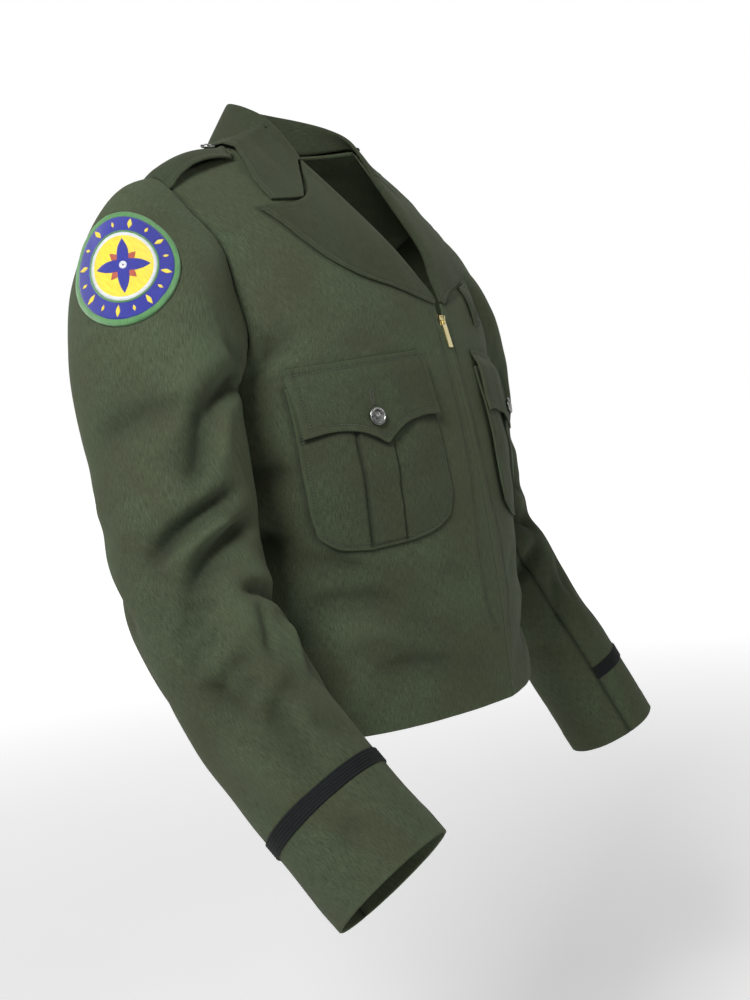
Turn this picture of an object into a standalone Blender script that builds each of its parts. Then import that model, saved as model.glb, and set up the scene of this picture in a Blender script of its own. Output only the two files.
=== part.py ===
"""Waist-length dress jacket, worn and hollow.

The front faces -Y, +Z is up and the wearer's left is +X. The origin is midway between the two points
where the shoulder seams meet the neck, which is where the wearer's shoulders carry the jacket.
Tables give one side in centimetres, as distance across from the middle, forward and up.
"""
import math
from functools import lru_cache

import bmesh
import bpy
import numpy as np
from mathutils import Vector
from mathutils.bvhtree import BVHTree

CM = 0.01
RIGHT = -1
LEFT = 1
SIDES = (("right", RIGHT), ("left", LEFT))

# Cloth and seams, in centimetres
CLOTH = 0.20
SEAM_GAP = 0.03
GORGE_GAP = 0.10
FRONT_GAP = 0.06

# Numbers of faces along and across the panels
ROWS_BELOW_ARM = 15
ROWS_ARMHOLE = 12
PANEL_COLUMNS = 10
HEAD_ROWS = 8
ARM_ROWS = 15
SLEEVE_COLUMNS = 24
TURN_FRONT_SEAM = 9 / SLEEVE_COLUMNS
TURN_HIND_SEAM = 17 / SLEEVE_COLUMNS
# The two sides of a seam are split into triangles alike, by the order of their points along this way
SEAM_RULE = np.array((0.2, 0.3, 1.0))
# Steps in a surface's own values, for its normals and for the arm's direction
NORMAL_STEP = 0.004
ARM_STEP = 0.04
# The sleeve leaves the armhole at this share of the straight distance
SLEEVE_FULLNESS = 1.15

# Side seam: level (0 hem, 1 armpit), across, forward, up
SIDE_SEAM = (
    (0.00, 18.2, 1.0, -54.0),
    (0.27, 18.4, 0.8, -46.0),
    (0.53, 18.9, 0.6, -38.0),
    (0.80, 20.0, 0.3, -30.5),
    (1.00, 20.4, -0.3, -24.2),
)

# Armhole: turn (0 shoulder, 0.25 front, 0.5 armpit, 0.75 back), across, forward, up,
# then the way the sleeve leaves it
ARMHOLE = (
    (0.00, 22.4, 0.2, -6.3, 1.00, 0.00, -0.08),
    (0.09, 21.3, 3.0, -9.6, 0.95, 0.35, -0.25),
    (0.17, 20.0, 4.4, -12.4, 0.85, 0.55, -0.35),
    (0.25, 19.6, 4.9, -16.0, 0.75, 0.55, -0.55),
    (0.34, 19.3, 5.3, -20.2, 0.55, 0.40, -0.80),
    (0.42, 19.8, 3.4, -23.0, 0.35, 0.20, -1.00),
    (0.50, 20.4, -0.3, -24.2, 0.25, 0.00, -1.00),
    (0.58, 20.0, -4.2, -23.0, 0.35, -0.20, -1.00),
    (0.66, 19.3, -7.0, -20.0, 0.60, -0.35, -0.75),
    (0.75, 19.6, -7.6, -15.6, 0.80, -0.35, -0.50),
    (0.83, 20.4, -6.6, -11.8, 0.90, -0.35, -0.35),
    (0.92, 21.7, -3.6, -8.2, 1.00, -0.20, -0.25),
)

# Front: level (0 hem, 1 armpit, 2 shoulder), inner edge, its handle, the outer edge's handle,
# each as across, forward, up
FRONT = (
    (0.00, 0.0, 15.1, -54.0, 5.8, -0.8, 0.0, 0.0, 10.6, 0.0),
    (0.27, 0.0, 15.0, -46.0, 6.1, -0.6, 0.0, 0.1, 10.6, 0.0),
    (0.53, 0.0, 14.6, -38.0, 6.6, -0.3, 0.0, 0.2, 10.7, 0.0),
    (0.80, 0.0, 13.9, -30.0, 7.1, 0.0, 0.0, 0.4, 11.3, 0.0),
    (1.00, 0.0, 13.0, -23.8, 7.3, 0.0, 0.0, 0.2, 10.6, 0.0),
    (1.12, 0.0, 12.6, -21.6, 6.9, 0.1, 0.0, -1.5, 8.4, 0.1),
    (1.16, 0.05, 12.5, -20.8, 6.8, 0.1, 0.0, -1.9, 7.8, 0.1),
    (1.24, 0.42, 12.2, -19.4, 6.4, 0.2, 0.0, -2.6, 6.6, 0.2),
    (1.32, 0.45, 12.0, -17.9, 6.0, 0.3, 0.0, -3.2, 5.6, 0.3),
    (1.50, 1.6, 10.7, -15.2, 5.8, 0.6, 0.0, -3.4, 4.4, 0.4),
    (1.66, 3.2, 9.0, -11.9, 5.5, 0.6, 0.0, -4.2, 3.0, 0.6),
    (1.82, 4.9, 5.4, -7.0, 5.5, 0.8, -0.6, -5.0, 2.0, 0.8),
    (2.00, 7.5, 0.0, 0.0, 5.0, 0.0, -2.8, -5.0, 0.0, 1.6),
)

# Back: the same columns, with the middle of the back and then the neck seam as its inner edge
BACK = (
    (0.000, 0.0, -9.4, -54.0, 9.0, 0.0, 0.0, 0.0, -8.0, 0.0),
    (0.270, 0.0, -8.9, -46.3, 9.0, 0.0, 0.0, 0.1, -8.0, 0.0),
    (0.530, 0.0, -8.8, -38.5, 9.0, 0.0, 0.0, 0.2, -8.2, 0.0),
    (0.800, 0.0, -9.8, -30.8, 9.0, 0.0, 0.0, 0.5, -9.0, 0.0),
    (1.000, 0.0, -10.6, -24.4, 9.0, 0.0, 0.0, 0.2, -9.0, 0.0),
    (1.120, 0.0, -10.9, -20.0, 8.8, 0.0, 0.0, -1.3, -7.0, 0.1),
    (1.270, 0.0, -11.1, -14.5, 8.4, 0.0, 0.0, -3.2, -4.2, 0.4),
    (1.450, 0.0, -10.6, -7.0, 7.6, 0.0, 0.0, -4.0, -3.2, 1.0),
    (1.580, 0.0, -9.4, -2.0, 7.0, -0.2, -0.4, -3.0, -3.4, 1.5),
    (1.667, 0.0, -8.0, 0.5, 6.0, -1.0, -1.0, -3.5, -3.0, 1.6),
    (1.750, 2.9, -7.5, 0.5, 5.0, -1.2, -1.2, -4.0, -2.4, 1.6),
    (1.833, 5.2, -5.9, 0.45, 5.0, -0.8, -1.8, -4.5, -1.6, 1.6),
    (1.917, 6.8, -3.3, 0.3, 5.0, -0.4, -2.4, -5.0, -0.8, 1.6),
    (2.000, 7.5, 0.0, 0.0, 5.0, 0.0, -2.8, -5.0, 0.0, 1.6),
)

# Arm below the armpit: station, middle (across, forward, up), half width across, half width forward
ARMS = {
    "right": (
        (0.00, 26.1, 1.1, -26.5, 5.4, 7.3),
        (0.18, 26.3, 1.8, -32.5, 5.4, 7.0),
        (0.36, 26.8, 2.9, -38.0, 5.5, 6.3),
        (0.50, 27.0, 4.8, -43.0, 5.4, 5.9),
        (0.65, 27.0, 7.8, -48.2, 5.1, 5.7),
        (0.82, 26.8, 12.6, -54.4, 4.8, 5.5),
        (1.00, 26.5, 18.7, -61.1, 4.6, 5.5),
    ),
    "left": (
        (0.00, 25.9, 0.4, -26.8, 5.2, 6.2),
        (0.18, 25.9, 0.5, -32.5, 5.1, 6.0),
        (0.36, 26.2, 1.1, -38.2, 5.1, 5.7),
        (0.50, 27.2, 2.6, -43.5, 5.0, 5.6),
        (0.65, 29.0, 4.8, -49.5, 4.9, 5.5),
        (0.82, 31.4, 7.9, -57.3, 4.8, 5.4),
        (1.00, 34.0, 11.1, -66.0, 4.7, 5.3),
    ),
}
# Lapel's free edge: station from the break to the peak, across, forward, up
LAPEL_EDGE = (
    (0.00, 0.9, 12.3, -17.75),
    (0.08, 1.8, 12.1, -17.55),
    (0.30, 6.3, 11.3, -16.2),
    (0.44, 9.2, 10.4, -15.3),
    (0.58, 11.6, 9.3, -14.0),
    (0.72, 13.3, 8.0, -12.3),
    (0.88, 14.9, 6.3, -10.1),
    (1.00, 15.7, 5.4, -9.15),
)
# Lapel's top edge: share of its width, across, forward, up, by the gorge seam to the notch and the peak
LAPEL_TOP = (
    (0.00, 6.2, 3.0, -3.5),
    (0.50, 9.9, 5.8, -7.7),
    (0.75, 12.8, 5.9, -8.7),
    (1.00, 15.7, 5.4, -9.15),
)
# Collar's front end: share of the leaf's width, across, forward, up, by the notch to the corner
COLLAR_FRONT = (
    (0.00, 6.2, 3.0, -3.5),
    (0.62, 9.9, 5.8, -7.65),
    (1.00, 14.0, 5.3, -8.2),
)
# Collar from the gorge to the nape: station, then seam, fold and leaf edge, each across, forward, up
COLLAR = (
    (0.00, 6.3, 2.9, -3.6, 6.0, 3.1, -3.2, 14.0, 5.3, -8.2),
    (0.18, 6.9, 1.3, -1.5, 6.1, 1.4, -0.9, 13.9, 3.3, -6.0),
    (0.36, 7.3, 0.0, 0.10, 6.3, -0.2, 1.0, 13.4, 1.0, -3.9),
    (0.54, 7.0, -2.3, 0.42, 6.1, -2.5, 2.5, 12.0, -1.9, -2.4),
    (0.72, 5.8, -5.0, 0.55, 4.9, -5.1, 3.7, 9.3, -5.6, -1.2),
    (0.86, 3.3, -7.0, 0.65, 2.8, -6.8, 4.3, 5.2, -8.5, -0.7),
    (1.00, 0.0, -7.8, 0.70, 0.0, -7.5, 4.5, 0.0, -9.7, -0.6),
)
# Rolled edge's section: distance in from the edge, height over the front's cloth
ROLL = ((-0.26, -0.14), (-0.36, 0.10), (-0.22, 0.34), (0.15, 0.46), (0.70, 0.48), (1.40, 0.44))
ROLL_DEPTH = 1.40
ROLL_LEVELS = (1.34, 1.91)
# Lapel: height over the cloth, width at which the roll reaches its full size, and the shares of its width
LAPEL_HEIGHT = 0.34
LAPEL_FULL_ROLL = 5.0
LAPEL_LEAST_ROLL = 0.45
LAPEL_SETTLES = (0.2, 0.7)
LAPEL_CLOTH = 0.18
LAPEL_ROLL_SHARE = 0.20
LAPEL_SHARES = (0.32, 0.5, 0.68, 0.84, 1.0)
LAPEL_ROWS = 12
# Collar's fold and, at the gorge, its rolled edge: distance and height from the fold and from the edge
COLLAR_FOLD = ((0.14, 0.24), (0.46, 0.24), (0.74, -0.06))
COLLAR_ROLL = ((-0.26, -0.14), (-0.32, 0.0), (-0.36, 0.10), (-0.22, 0.34), (0.15, 0.46), (0.55, 0.48))
COLLAR_SHARES = (0.14, 0.30, 0.46, 0.62, 0.80, 1.0)
COLLAR_STATIONS = 12
# Leaf of the collar over the shoulder's cloth, and how much more where it covers the epaulet
COLLAR_HEIGHT = 0.48
COLLAR_LIFT = 0.36
# The lift ends over these distances from the epaulet's middle line, and starts over these places across
COLLAR_LIFT_SIDES = (3.3, 5.7)
COLLAR_LIFT_ACROSS = (9.6, 11.6)
# Stations over which the rolled front end turns into the standing collar, the leaf rises to its height and
# the front end's outline dies away
COLLAR_STANDS = 0.22
COLLAR_RISES = (0.12, 0.24)
COLLAR_OUTLINE_ENDS = 0.4
# The leaf's curve: how far it leaves the fold outward and down, its rolled end's reach, then how far from the
# rim and how high above it comes in
COLLAR_LEAVES = (0.9, 1.3, 0.33)
COLLAR_ARRIVES = (0.30, 0.5)
# Small step in from the edge that gives the cloth's way in
EDGE_STEP = 0.06

# Breast pocket as seen from the front: share of its depth, inner edge (across, up), outer edge (across, up)
POCKET = (
    (0.00, 4.9, -23.6, 17.7, -24.5),
    (0.30, 4.8, -27.9, 17.6, -28.9),
    (0.60, 4.7, -32.3, 17.3, -32.9),
    (0.80, 4.8, -35.3, 16.8, -35.9),
    (0.90, 5.7, -36.9, 16.2, -37.4),
    (0.97, 8.0, -37.9, 14.7, -38.3),
    (1.00, 9.6, -38.2, 13.2, -38.5),
)
POCKET_CLOTH = 0.16
POCKET_SEAT = 0.17
POCKET_PUFF = 0.14
PLEAT_ACROSS = (10.35, 13.35)
PLEAT_RISE = 0.18
PLEAT_STEP = 0.06
POCKET_ROWS = 11
# Rows lie closer towards the round bottom; columns stand at these shares of the way to the pleat
POCKET_ROW_EASE = 1.6
POCKET_SHARES = (0.0, 0.28, 0.67)
# How squarely the pocket puffs, and the share of its depth over which the pleat rises
POCKET_SQUARE = 0.6
PLEAT_RISES = 0.2
# Flap: share of its width, then how far it hangs below its seam
FLAP_DROP = (
    (0.00, 5.9),
    (0.20, 5.7),
    (0.38, 6.2),
    (0.52, 7.2),
    (0.66, 6.2),
    (0.82, 5.7),
    (1.00, 5.9),
)
FLAP_SEAM = ((5.0, -22.0), (17.9, -22.9))
FLAP_POINT = 0.52
FLAP_LEAN = 0.02
FLAP_COLUMNS = 16
FLAP_ROWS = 7
FLAP_CLOTH = 0.2
FLAP_SEAT = 0.06
FLAP_RISE = 0.47
FLAP_OVER_PLEAT = 0.2
FLAP_RISES = 1.4
FLAP_PLEAT_REACH = (2.0, 3.8)
POCKET_BUTTON = (12.0, -27.6)
BUTTON_RADIUS = 0.76
BUTTON_HEIGHT = 0.42
EPAULET_BUTTON_RADIUS = 0.62
BUTTON_FOOT = 0.8
BUTTON_SEAT = 0.08

# Epaulet along the shoulder: from the sleeve seam to its point under the collar
EPAULET_ACROSS = (21.3, 12.2)
EPAULET_MIDDLE = -0.9
EPAULET_HALF = (2.6, 2.1)
EPAULET_CLOTH = 0.25
EPAULET_SEAT = 0.17
EPAULET_LOFT = 1.0
EPAULET_ARCH_END = 0.86
EPAULET_POINT = 1.5
EPAULET_ROWS = 14
EPAULET_COLUMNS = 6
EPAULET_BUTTON_ACROSS = 13.6

# Braid round the sleeve: how far up the arm it runs (station) and how proud it stands
BRAID = (0.840, 0.867)
BRAID_CLOTH = 0.12
BRAID_SEAT = 0.08
BRAID_MARGIN = 0.004
BRAID_COLUMNS = 20
# Its section: share of its width, share of its thickness
BRAID_SECTION = ((0.0, 0.4), (0.12, 1.0), (0.88, 1.0), (1.0, 0.4))

# Round patch on the right sleeve: middle, half width, half height
PATCH_MIDDLE = (29.4, 2.6, -14.2)
PATCH_HALF = (4.15, 4.75)
PATCH_SEAT = 0.12
PATCH_CLOTH = 0.16
PATCH_BORDER = 0.10
PATCH_SIDES = 24
# Its section from near the middle to the raised border: share of its size, thickness
PATCH_SECTION = (
    (0.02, PATCH_CLOTH),
    (0.30, PATCH_CLOTH),
    (0.60, PATCH_CLOTH),
    (0.86, PATCH_CLOTH),
    (0.90, PATCH_CLOTH + PATCH_BORDER),
    (0.97, PATCH_CLOTH + PATCH_BORDER),
    (1.00, PATCH_CLOTH * 0.6),
)

# Tab for a badge on the left breast: across and up of its corners, as seen from the front
TAB = ((6.3, -16.5), (9.0, -15.7), (9.3, -19.6), (6.9, -19.7))
TAB_CLOTH = 0.18
TAB_SEAT = 0.06
TAB_ROWS = 5
TAB_COLUMNS = 3

# Zip behind the front edges
ZIP_TOP = -18.6
ZIP_BOTTOM = -52.0
ZIP_ROWS = 18
ZIP_SEAT = 0.06
TAPE_HALF = 1.3
TAPE_FALL = 0.13
CHAIN_HALF = 0.26
CHAIN_HEIGHT = 0.16
CHAIN_SLOPE = 0.05
TAPE_CLOTH = 0.1
# Slider: middle's height, then width, depth and height, and how proud it stands
SLIDER_UP = -19.3
SLIDER_SIZE = (0.62, 0.16, 1.0)
SLIDER_PROUD = 0.02
# Bail on the slider, an upright loop in the middle plane
BAIL_HALF = 0.08
BAIL_BAR = 0.10
BAIL_POST = 0.14
BAIL_REACH = 0.34
BAIL_SET_IN = 0.25
# Pull, hinged on its bar inside the bail
HINGE_REACH = 0.12
HINGE_RISE = 0.13
PULL_BAR = 0.10
PULL_HALF = 0.34
PULL_CLEAR = 0.08
PULL_WINDOW = 0.42
PULL_LENGTH = 2.6
PULL_THICKNESS = 0.12
PULL_TILT = 12.0

# Soft folds, from one end to the other on the surface's own two values (sleeves: turn, along; panels: share
# of the width, level), then half width and depth; a ridge has a depth below zero
FOLDS = {
    "right": (
        (0.35, 0.62, 0.23, 0.96, 1.6, 0.50),
        (0.24, 0.93, 0.14, 1.17, 1.6, 0.60),
        (0.27, 0.62, 0.10, 1.04, 1.7, -0.30),
        (-0.05, 1.01, 0.14, 0.97, 2.0, 0.30),
        (0.24, 1.20, 0.02, 1.34, 1.5, 0.60),
        (0.30, 1.27, 0.09, 1.43, 1.7, 0.55),
        (0.21, 1.24, 0.06, 1.38, 1.4, -0.20),
        (-0.01, 1.44, 0.13, 1.47, 1.6, 0.30),
        (0.31, 1.42, 0.17, 1.56, 2.4, -0.40),
        (0.01, 1.57, 0.15, 1.82, 1.9, 0.30),
        (0.44, 1.17, 0.60, 1.30, 1.8, 0.40),
        (0.46, 1.40, 0.36, 1.50, 1.7, 0.35),
        (0.70, 0.70, 0.86, 1.08, 1.9, 0.45),
        (0.86, 1.18, 0.74, 1.44, 2.0, 0.35),
    ),
    "left": (
        (0.34, 0.60, 0.24, 0.94, 1.6, 0.45),
        (0.30, 0.95, 0.16, 1.16, 1.7, 0.45),
        (0.38, 1.22, 0.20, 1.36, 1.6, 0.50),
        (0.40, 1.38, 0.22, 1.50, 1.7, 0.55),
        (0.24, 1.42, 0.08, 1.50, 1.6, 0.35),
        (0.30, 1.56, 0.16, 1.74, 1.9, 0.30),
        (0.02, 1.00, 0.16, 1.06, 2.0, 0.30),
        (0.04, 1.30, -0.10, 1.46, 1.8, 0.35),
        (0.46, 1.12, 0.62, 1.24, 1.8, 0.35),
        (0.68, 0.72, 0.84, 1.04, 1.9, 0.45),
        (0.88, 1.14, 0.76, 1.38, 2.0, 0.30),
    ),
    "front": (
        (0.80, 1.32, 0.93, 1.16, 1.7, 0.35),
        (0.92, 0.80, 0.70, 0.76, 1.7, 0.30),
        (0.94, 0.60, 0.72, 0.55, 1.8, 0.40),
        (0.70, 0.48, 0.36, 0.33, 2.0, 0.30),
        (0.60, 0.22, 0.10, 0.09, 2.0, 0.25),
        (0.86, 0.30, 0.66, 0.10, 2.2, -0.25),
    ),
    "back": (
        (0.92, 1.30, 0.70, 1.08, 2.2, 0.45),
        (0.94, 1.05, 0.74, 0.70, 2.4, 0.45),
        (0.90, 0.62, 0.50, 0.48, 2.2, 0.35),
        (0.84, 0.34, 0.44, 0.26, 2.2, 0.35),
        (0.30, 0.44, 0.05, 0.40, 2.4, 0.25),
    ),
}
# Centimetres per unit of the two values, before and after the second reaches 1
FOLD_SCALE = {"sleeve": (38.0, 17.0, 38.0), "panel": (22.0, 30.0, 19.0)}
FOLD_END = 0.22

# The left shoulder is held this much further back than the right
LEFT_SHOULDER_BACK = 2.6
SHOULDER_ACROSS = 20.0

# First guess of a place's own values on the front: width of the panel, height of level 1, and how high one
# level is below it and above it
FRONT_GUESS = (19.0, -23.8, 30.0, 18.5)

# Finishes: colour, roughness, metallic
FINISHES = {
    "wool": ((0.075, 0.088, 0.053), 0.85, 0.0),
    "tape": ((0.045, 0.055, 0.033), 0.85, 0.0),
    "braid": ((0.018, 0.018, 0.017), 0.7, 0.0),
    "brass": ((0.62, 0.43, 0.16), 0.35, 1.0),
    "button": ((0.16, 0.16, 0.15), 0.35, 1.0),
    "patch": ((0.10, 0.20, 0.30), 0.8, 0.0),
}


@lru_cache(maxsize=None)
def prepared(rows):
    """A table's stations, values and the curve's tangents at them."""
    table = np.array(rows, float)
    station = table[:, 0]
    values = table[:, 1:]
    step = np.diff(station)[:, None]
    slope = np.diff(values, axis=0) / step
    middle = (slope[:-1] * step[1:] + slope[1:] * step[:-1]) / (step[1:] + step[:-1])
    return station, values, np.vstack([slope[:1], middle, slope[-1:]])


def spline(rows, at):
    """Read a table at a station between its rows, on a smooth curve through them."""
    station, values, tangent = prepared(rows)
    at = min(max(at, station[0]), station[-1])
    k = int(min(np.searchsorted(station, at, side="right"), len(station) - 1)) - 1
    width = station[k + 1] - station[k]
    t = (at - station[k]) / width
    return (values[k] * (1 + 2 * t) * (1 - t) ** 2 + tangent[k] * width * t * (1 - t) ** 2
            + values[k + 1] * t * t * (3 - 2 * t) + tangent[k + 1] * width * t * t * (t - 1))


def smooth(t):
    t = min(max(t, 0.0), 1.0)
    return t * t * (3 - 2 * t)


def ramp(value, start, end):
    """Smooth rise from 0 at one value to 1 at another."""
    return smooth((value - start) / (end - start))


def unit(vector):
    return vector / max(np.linalg.norm(vector), 1e-12)


def bezier(a, b, c, d, t):
    return a * (1 - t) ** 3 + b * 3 * t * (1 - t) ** 2 + c * 3 * t * t * (1 - t) + d * t ** 3


def hermite(a, lead, b, trail, t):
    return (a * (1 + 2 * t) * (1 - t) ** 2 + lead * t * (1 - t) ** 2
            + b * t * t * (3 - 2 * t) + trail * t * t * (t - 1))


ARMHOLE_ROUND = tuple((row[0] + turns, *row[1:]) for turns in (-1, 0, 1) for row in ARMHOLE)


def armhole(turn):
    """Point of the armhole seam and the direction in which the sleeve leaves it."""
    row = spline(ARMHOLE_ROUND, turn % 1.0)
    return row[:3], unit(row[3:6])


def outer_edge(level, half):
    """Side seam up to the armpit, then the front or back half of the armhole."""
    if level <= 1:
        return spline(SIDE_SEAM, level)
    turn = (2 - level) / 2
    return armhole(turn if half == "front" else 1 - turn)[0]


def on_cloth(kind, a, b):
    """Place on a surface in centimetres over the cloth."""
    across, low, high = FOLD_SCALE[kind]
    return np.array((a * across, b * low if b < 1 else low + (b - 1) * high))


def fold_depth(name, kind, a, b):
    """How far the folds draw the cloth in at a place."""
    spot = on_cloth(kind, a, b)
    total = 0.0
    for a0, b0, a1, b1, width, depth in FOLDS[name]:
        shift = round(a - (a0 + a1) / 2) if kind == "sleeve" else 0
        start = on_cloth(kind, a0 + shift, b0)
        run = on_cloth(kind, a1 + shift, b1) - start
        length = math.hypot(*run)
        along = (spot - start) @ run / length
        aside = ((spot - start)[0] * run[1] - (spot - start)[1] * run[0]) / length
        fade = smooth((along / length + FOLD_END) / (2 * FOLD_END))
        fade *= smooth((1 + FOLD_END - along / length) / (2 * FOLD_END))
        if fade > 0 and abs(aside) < 3 * width:
            total += depth * fade * math.exp(-(aside / width) ** 2)
    return total


def folded(plain, name, kind, a, b, sign, fade):
    """Point of a plain surface after its folds have drawn it in."""
    depth = fold_depth(name, kind, a, b) * fade if fade > 0 else 0.0
    if abs(depth) < 1e-4:
        return plain(a, b)
    a_range = (-1, 2) if kind == "sleeve" else (0, 1)
    return plain(a, b) - normal(plain, a, b, a_range, (0, 2)) * sign * depth


def plain_front(s, level):
    row = spline(FRONT, level)
    outer = outer_edge(level, "front")
    return bezier(row[:3], row[:3] + row[3:6], outer + row[6:9], outer, s)


def front(s, level):
    fade = smooth(s / 0.1) * smooth((1 - s) / 0.12) * smooth((2 - level) / 0.2)
    return folded(plain_front, "front", "panel", s, level, 1, fade)


def plain_back(s, level):
    row = spline(BACK, level)
    outer = outer_edge(level, "back")
    return bezier(row[:3], row[:3] + row[3:6], outer + row[6:9], outer, s)


def back(s, level):
    fade = smooth((1 - s) / 0.12) * smooth((2 - level) / 0.2)
    return folded(plain_back, "back", "panel", s, level, -1, fade)


def arm_ring(name, turn, station):
    """Point of a ring round the arm: turn 0 outward, 0.25 forward, 0.5 inward."""
    row = spline(ARMS[name], station)
    ahead = spline(ARMS[name], min(station + ARM_STEP, 1))[:3]
    way = unit(ahead - spline(ARMS[name], max(station - ARM_STEP, 0))[:3])
    outward = unit(np.array((1.0, 0, 0)) - way * way[0])
    forward = np.array((0, 1.0, 0)) - way * way[1]
    forward = unit(forward - outward * (forward @ outward))
    angle = 2 * math.pi * turn
    return row[:3] + outward * row[3] * math.cos(angle) + forward * row[4] * math.sin(angle), way


def plain_sleeve(name, turn, along):
    """Point of the sleeve without folds: along 0 at the armhole, 1 where the rings start, 2 at the cuff."""
    if along >= 1:
        return arm_ring(name, turn, along - 1)[0]
    seam, lead = armhole(turn)
    ring, way = arm_ring(name, turn, 0)
    reach = np.linalg.norm(ring - seam) * SLEEVE_FULLNESS
    return hermite(seam, lead * reach, ring, way * reach, along)


def sleeve(name, turn, along):
    def plain(a, b):
        return plain_sleeve(name, a, b)

    return folded(plain, name, "sleeve", turn, along, 1, smooth(along / 0.3))


def normal(surface, a, b, a_range, b_range):
    """Unit normal of a surface of two values, from the points just round it."""
    a0, a1 = max(a - NORMAL_STEP, a_range[0]), min(a + NORMAL_STEP, a_range[1])
    b0, b1 = max(b - NORMAL_STEP, b_range[0]), min(b + NORMAL_STEP, b_range[1])
    return unit(np.cross(surface(a, b1) - surface(a, b0), surface(a1, b) - surface(a0, b)))


def place(side, point):
    """From across, forward, up in centimetres to the part's own metres."""
    across, forward, up = point
    if side == LEFT:
        forward -= LEFT_SHOULDER_BACK * min(abs(across) / SHOULDER_ACROSS, 1) ** 2
    return np.array((side * across, -forward, up)) * CM


def finish(name):
    colour, roughness, metallic = FINISHES[name]
    material = bpy.data.materials.new(name)
    material.use_nodes = True
    shader = material.node_tree.nodes["Principled BSDF"]
    shader.inputs["Base Color"].default_value = (*colour, 1)
    shader.inputs["Roughness"].default_value = roughness
    shader.inputs["Metallic"].default_value = metallic
    return material


def wall(name, grids, material):
    """Closed wall between grids of outer and inner points, welded where the grids share an edge."""
    index = {}
    outer = []
    inner = []
    faces = []
    for outside, inside in grids:
        ids = np.zeros(outside.shape[:2], int)
        for i, j in np.ndindex(*ids.shape):
            key = tuple(np.round(outside[i, j], 6))
            if key not in index:
                index[key] = len(outer)
                outer.append(outside[i, j])
                inner.append(inside[i, j])
            ids[i, j] = index[key]
        for i, j in np.ndindex(ids.shape[0] - 1, ids.shape[1] - 1):
            face = []
            for corner in (ids[i, j], ids[i, j + 1], ids[i + 1, j + 1], ids[i + 1, j]):
                if corner not in face:
                    face.append(int(corner))
            if len(face) > 2:
                faces.append(face)
    used = {}
    for face in faces:
        for a, b in zip(face, face[1:] + face[:1]):
            used.setdefault(frozenset((a, b)), []).append((a, b))
    below = len(outer)
    skin = [list(face) for face in faces] + [[v + below for v in reversed(face)] for face in faces]
    for edges in used.values():
        if len(edges) == 1:
            a, b = edges[0]
            if outer[a] @ SEAM_RULE > outer[b] @ SEAM_RULE:
                skin += [[b, a, a + below], [b, a + below, b + below]]
            else:
                skin += [[b, a, b + below], [a, a + below, b + below]]
    mesh = bpy.data.meshes.new(name)
    mesh.from_pydata([tuple(p) for p in outer + inner], [], skin)
    tidy = bmesh.new()
    tidy.from_mesh(mesh)
    bmesh.ops.recalc_face_normals(tidy, faces=tidy.faces)
    tidy.to_mesh(mesh)
    tidy.free()
    mesh.shade_smooth()
    mesh.set_sharp_from_angle(angle=math.radians(50))
    thing = bpy.data.objects.new(name, mesh)
    thing.data.materials.append(finish(material))
    bpy.context.collection.objects.link(thing)
    return thing


def eased(points, edges, half=SEAM_GAP / 2):
    """Draw a grid's chosen edges back by half a seam gap, so that its neighbour stays clear."""
    points = points.copy()
    every = slice(None)
    pairs = {
        "first row": ((0, every), (1, every)),
        "last row": ((-1, every), (-2, every)),
        "first column": ((every, 0), (every, 1)),
        "last column": ((every, -1), (every, -2)),
    }
    for edge in edges:
        rim, next_in = pairs[edge]
        away = points[next_in] - points[rim]
        points[rim] = points[rim] + half * away / np.linalg.norm(away, axis=-1, keepdims=True)
    return points


def placed(side, grid):
    return np.array([[place(side, point) for point in row] for row in grid])


def levels():
    low = [k / ROWS_BELOW_ARM for k in range(ROWS_BELOW_ARM)]
    return low + [1 + k / ROWS_ARMHOLE for k in range(ROWS_ARMHOLE + 1)]


def seam_normal(s, level):
    """Direction through the cloth where front and back meet, at the shoulder or the side."""
    return unit(normal(front, s, level, (0, 1), (0, 2)) - normal(back, s, level, (0, 1), (0, 2)))


def armhole_normal(turn):
    """Seam allowance's direction: between the body's normal and the sleeve's."""
    level = 2 - 2 * turn if turn <= 0.5 else 2 - 2 * (1 - turn)
    if turn <= 0.5:
        body = normal(front, 1.0, level, (0, 1), (0, 2))
    else:
        body = -normal(back, 1.0, level, (0, 1), (0, 2))

    def surface(a, b):
        return sleeve("right", a, b)

    arm = normal(surface, turn, 0.0, (-1, 2), (0, 2))
    return unit(body + arm)


def panel_grid(surface, half, columns):
    outside = []
    inside = []
    sign = 1 if half == "front" else -1
    for level in levels():
        row_out = []
        row_in = []
        for k in range(columns + 1):
            s = k / columns
            point = surface(s, level)
            if level == 2 or (k == columns and level < 1):
                way = seam_normal(s, level)
            elif k == columns:
                turn = (2 - level) / 2
                way = armhole_normal(turn if half == "front" else 1 - turn)
            else:
                way = sign * normal(surface, s, level, (0, 1), (0, 2))
            row_out.append(point)
            row_in.append(point - way * CLOTH)
        outside.append(row_out)
        inside.append(row_in)
    return np.array(outside), np.array(inside)


def make_fronts():
    for name, side in SIDES:
        outside, inside = panel_grid(front, "front", PANEL_COLUMNS)
        edges = ("last row", "last column")
        outside = eased(outside, edges)
        inside = eased(inside, edges)
        for grid in (outside, inside):
            grid[:, 0, 0] += FRONT_GAP / 2
        wall("front_" + name, [(placed(side, outside), placed(side, inside))], "wool")


def make_back():
    outside, inside = panel_grid(back, "back", PANEL_COLUMNS)
    edges = ("last row", "last column")
    outside = eased(outside, edges)
    inside = eased(inside, edges)
    halves = [(placed(side, outside), placed(side, inside)) for name, side in SIDES]
    wall("back", halves, "wool")


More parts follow.
